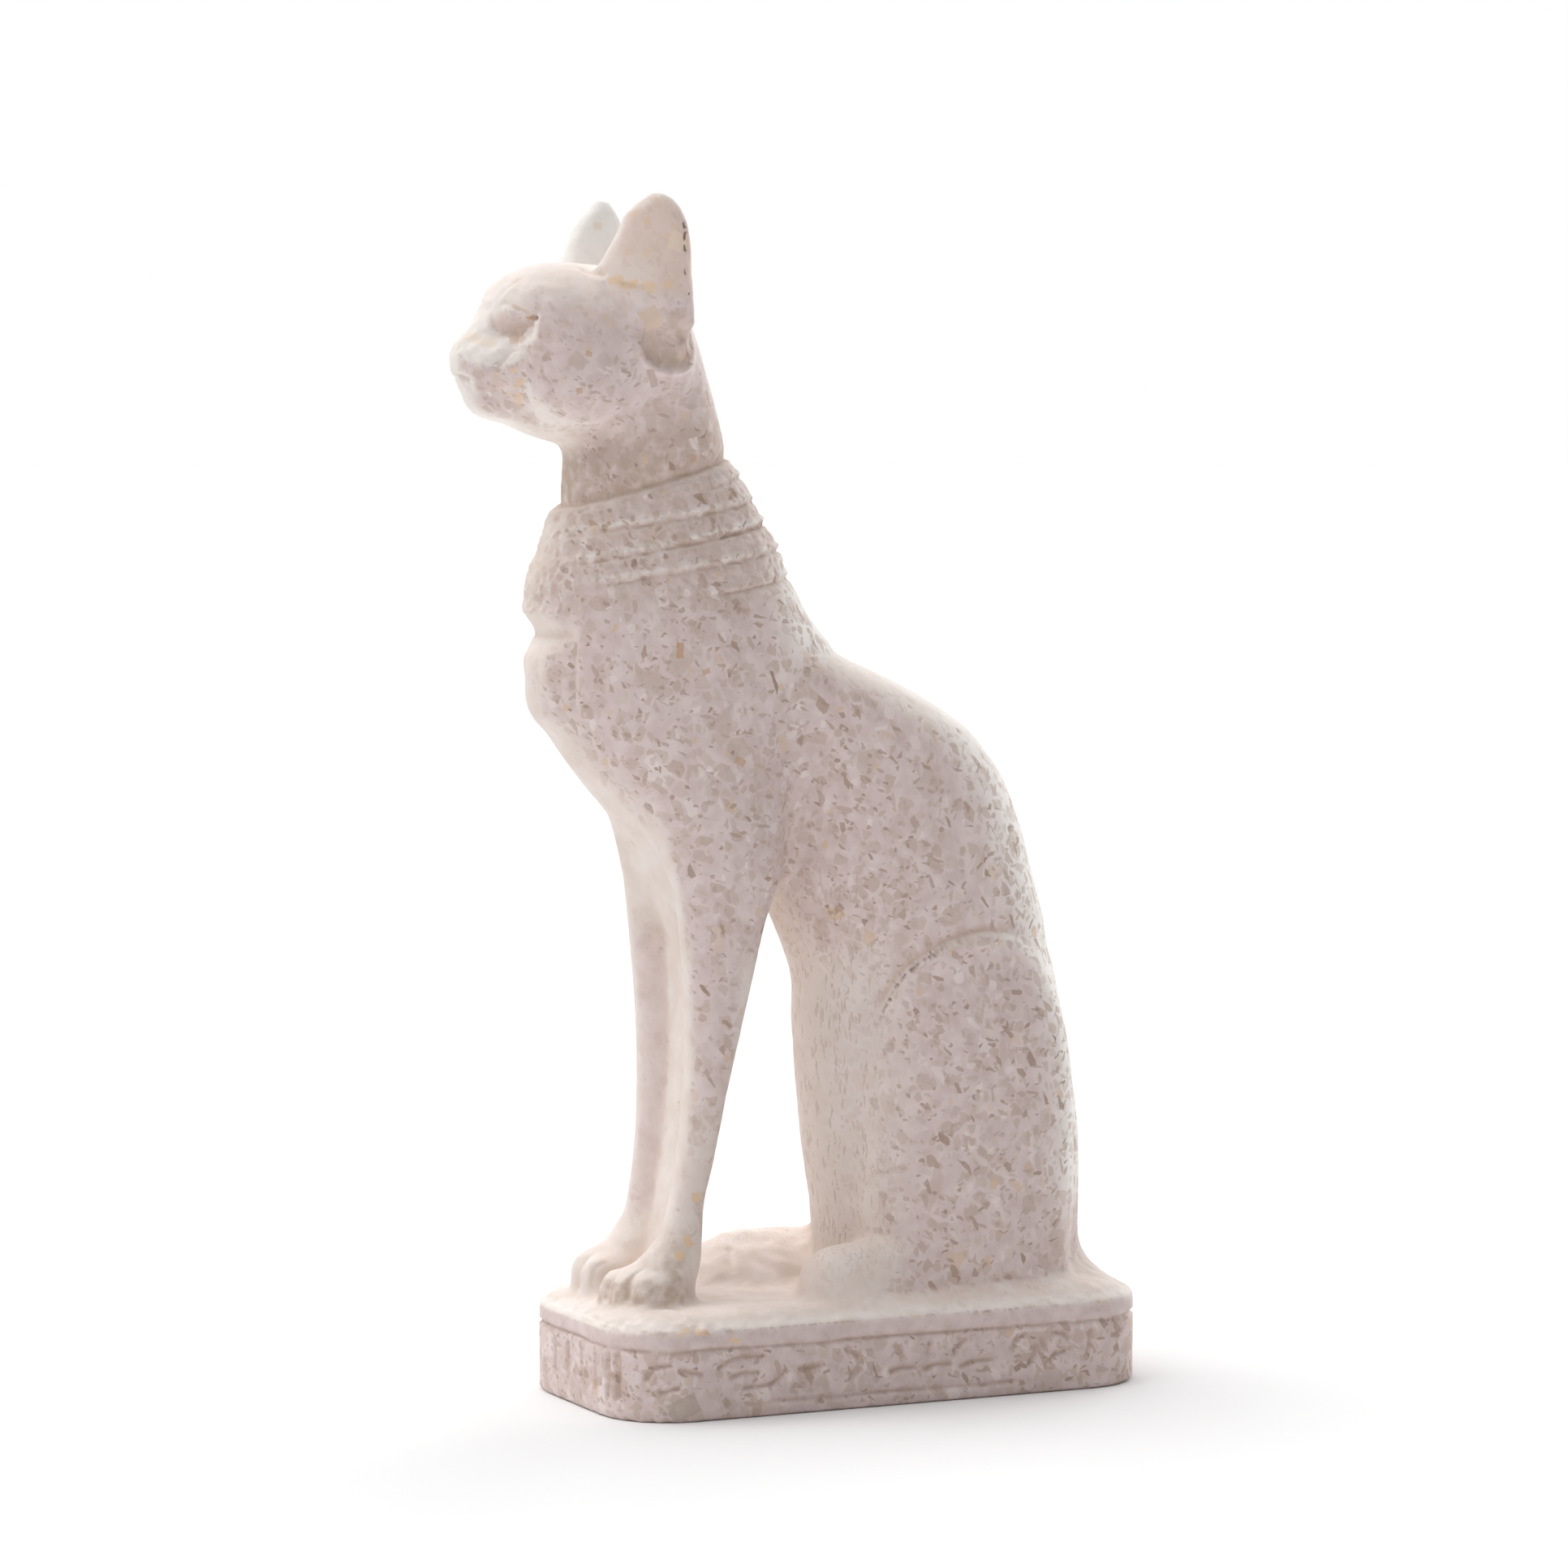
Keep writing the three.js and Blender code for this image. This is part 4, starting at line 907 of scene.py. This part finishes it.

# Single chips and worn-in patches that stand out, and dark marks of painted shade in the eye's
# drilled corner, in the bowl under the ear and in the ear's nicks, by place, half size, colour and strength
ORANGE = (0.820, 0.580, 0.360, 1)
BEIGE = (0.730, 0.560, 0.450, 1)
SAND = (0.860, 0.700, 0.550, 1)
GREY = (0.500, 0.410, 0.340, 1)
NICK_SHADE = (0.180, 0.130, 0.100, 1)
RUST = (0.560, 0.330, 0.180, 1)
LONE_CHIPS = [
    ((10.9, -30.2, 33.9), (1.2, 0.7, 0.8), ORANGE, 0.8),
    ((11.1, -31.7, 26.9), (1.2, 0.7, 0.9), ORANGE, 0.8),
    ((11.6, -33.4, 24.7), (1.2, 0.8, 0.7), ORANGE, 0.7),
    ((22.3, -37.5, 14.4), (1.4, 1.1, 0.5), ORANGE, 0.5),
    ((22.9, -34.6, 14.2), (1.4, 1.2, 0.5), ORANGE, 0.6),
    ((23.1, -29.1, 12.6), (1.4, 1.0, 0.35), ORANGE, 0.7),
    ((13.7, -38.9, 173.5), (1.6, 1.5, 1.8), BEIGE, 0.8),
    ((14.6, -34.9, 185.6), (1.6, 1.2, 1.5), SAND, 0.6),
    ((14.3, -39.8, 188.8), (1.6, 0.9, 0.7), ORANGE, 0.4),
    ((13.2, -42.6, 184.0), (1.6, 0.5, 0.5), ORANGE, 0.35),
    ((14.4, -39.5, 183.8), (1.6, 0.6, 0.7), ORANGE, 0.35),
    ((14.4, -36.4, 179.0), (1.6, 0.7, 0.6), ORANGE, 0.6),
    ((-10.5, -38.5, 188.6), (3.0, 0.8, 0.6), SAND, 0.5),
    ((13.4, -32.6, 168.2), (1.8, 1.1, 1.1), BEIGE, 0.7),
    ((23.1, -37.6, 2.4), (1.5, 2.4, 1.6), GREY, 0.7),
    ((22.9, -42.6, 2.0), (1.5, 1.6, 1.2), GREY, 0.5),
    ((11.3, -43.9, 179.6), (1.2, 1.0, 0.6), ORANGE, 0.6),
    ((12.6, -42.1, 178.8), (1.2, 1.1, 0.6), ORANGE, 0.55),
    ((13.7, -39.4, 178.5), (1.2, 0.9, 0.8), ORANGE, 0.6),
    ((4.3, -57.7, 179.5), (0.9, 1.5, 0.5), SAND, 0.25),
    ((3.2, -64.2, 170.4), (2.2, 2.6, 0.8), SAND, 0.5),
    ((6.2, -58.8, 170.4), (1.4, 1.1, 0.7), BEIGE, 0.7),
    ((5.0, -60.8, 173.4), (1.2, 0.8, 1.1), SAND, 0.25),
    ((7.2, -58.4, 175.0), (1.2, 1.3, 0.3), BEIGE, 0.6),
    ((8.7, -57.2, 173.6), (1.2, 0.55, 0.38), RUST, 0.8),
    # Painted shade in the eye's drilled corner and in the bowl under the ear
    ((8.9, -56.8, 173.7), (0.9, 0.14, 0.18), NICK_SHADE, 0.9),
    ((13.9, -36.0, 171.6), (1.0, 0.8, 0.25), NICK_SHADE, 0.6),
    ((7.5, -60.0, 165.4), (1.0, 0.5, 0.5), ORANGE, 0.6),
    ((7.8, -59.0, 163.5), (1.0, 0.5, 0.7), ORANGE, 0.6),
    ((6.8, -58.6, 160.8), (1.2, 0.4, 1.1), ORANGE, 0.5),
    ((12.6, -51.0, 162.2), (1.0, 0.5, 0.5), RUST, 0.6),
    ((13.1, -49.4, 168.1), (1.0, 0.5, 0.4), RUST, 0.5),
    ((11.5, -48.8, 174.4), (1.2, 0.9, 1.0), BEIGE, 0.35),
    ((12.2, -45.4, 172.8), (1.2, 0.5, 0.8), BEIGE, 0.6),
    ((14.0, -34.3, 121.4), (1.2, 0.6, 1.2), RUST, 0.7),
    ((14.4, -30.0, 118.0), (1.2, 0.7, 0.5), RUST, 0.6),
    ((14.3, -24.1, 103.6), (1.2, 1.0, 0.6), RUST, 0.6),
    ((11.4, -15.1, 106.2), (1.4, 0.9, 1.5), BEIGE, 0.8),
    ((9.7, -30.0, 151.6), (1.0, 0.7, 0.6), RUST, 0.5),
    ((13.8, 2.3, 107.1), (1.2, 1.0, 0.5), BEIGE, 0.7),
]
# Painted shade: a dark mark in each nick on the ear's back edge
EAR_NICKS = [
    (-33.6, 188.2, 0.5), (-33.5, 186.6, 0.6), (-33.6, 184.6, 0.5), (-33.6, 180.9, 0.5), (-32.7, 177.5, 0.3),
]
for along, up, half_height in EAR_NICKS:
    LONE_CHIPS.append(((14.3, along, up), (1.0, 0.15, half_height), NICK_SHADE, 0.85))
lone = lone_chip_group()
for count, (middle, half, tint, strength) in enumerate(LONE_CHIPS):
    chip = nodes.new("ShaderNodeGroup")
    chip.node_tree = lone
    links.new(bent.outputs[0], chip.inputs["Place mm"])
    chip.inputs["Middle mm"].default_value = [value + BEND / 2 for value in middle]
    chip.inputs["Turn"].default_value = (0.5 * math.sin(2.4 * count), 0, 0)
    chip.inputs["Half size mm"].default_value = half
    colour = blend(maths("MULTIPLY", chip.outputs["Chip"], strength), colour, tint)
RECESS_OCHRE_AND_SHADE = (0.660, 0.490, 0.370, 1)
VALLEY_SHADE = (0.640, 0.480, 0.380, 1)
# Ochre in small recesses, partly the stone's own and partly painted shade; broad hollows painted darker as
# shade
colour = blend(maths("MULTIPLY", layer("hollow"), 0.38), colour, RECESS_OCHRE_AND_SHADE)
colour = blend(maths("MULTIPLY", layer("valley"), 0.32), colour, VALLEY_SHADE)
links.new(colour, shader.inputs["Base Color"])
links.new(maths("MULTIPLY_ADD", rubbed_share, -0.22, 0.78), shader.inputs["Roughness"])
bump = nodes.new("ShaderNodeBump")
bump.inputs["Strength"].default_value = 0.4
bump.inputs["Distance"].default_value = 0.06 * MM
links.new(mottle(2.2, 3, 0.3, 0.7), bump.inputs["Height"])
links.new(bump.outputs["Normal"], shader.inputs["Normal"])
cast.data.materials.append(stone)

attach(cast, "root")
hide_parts("seated_cat_on_plinth")
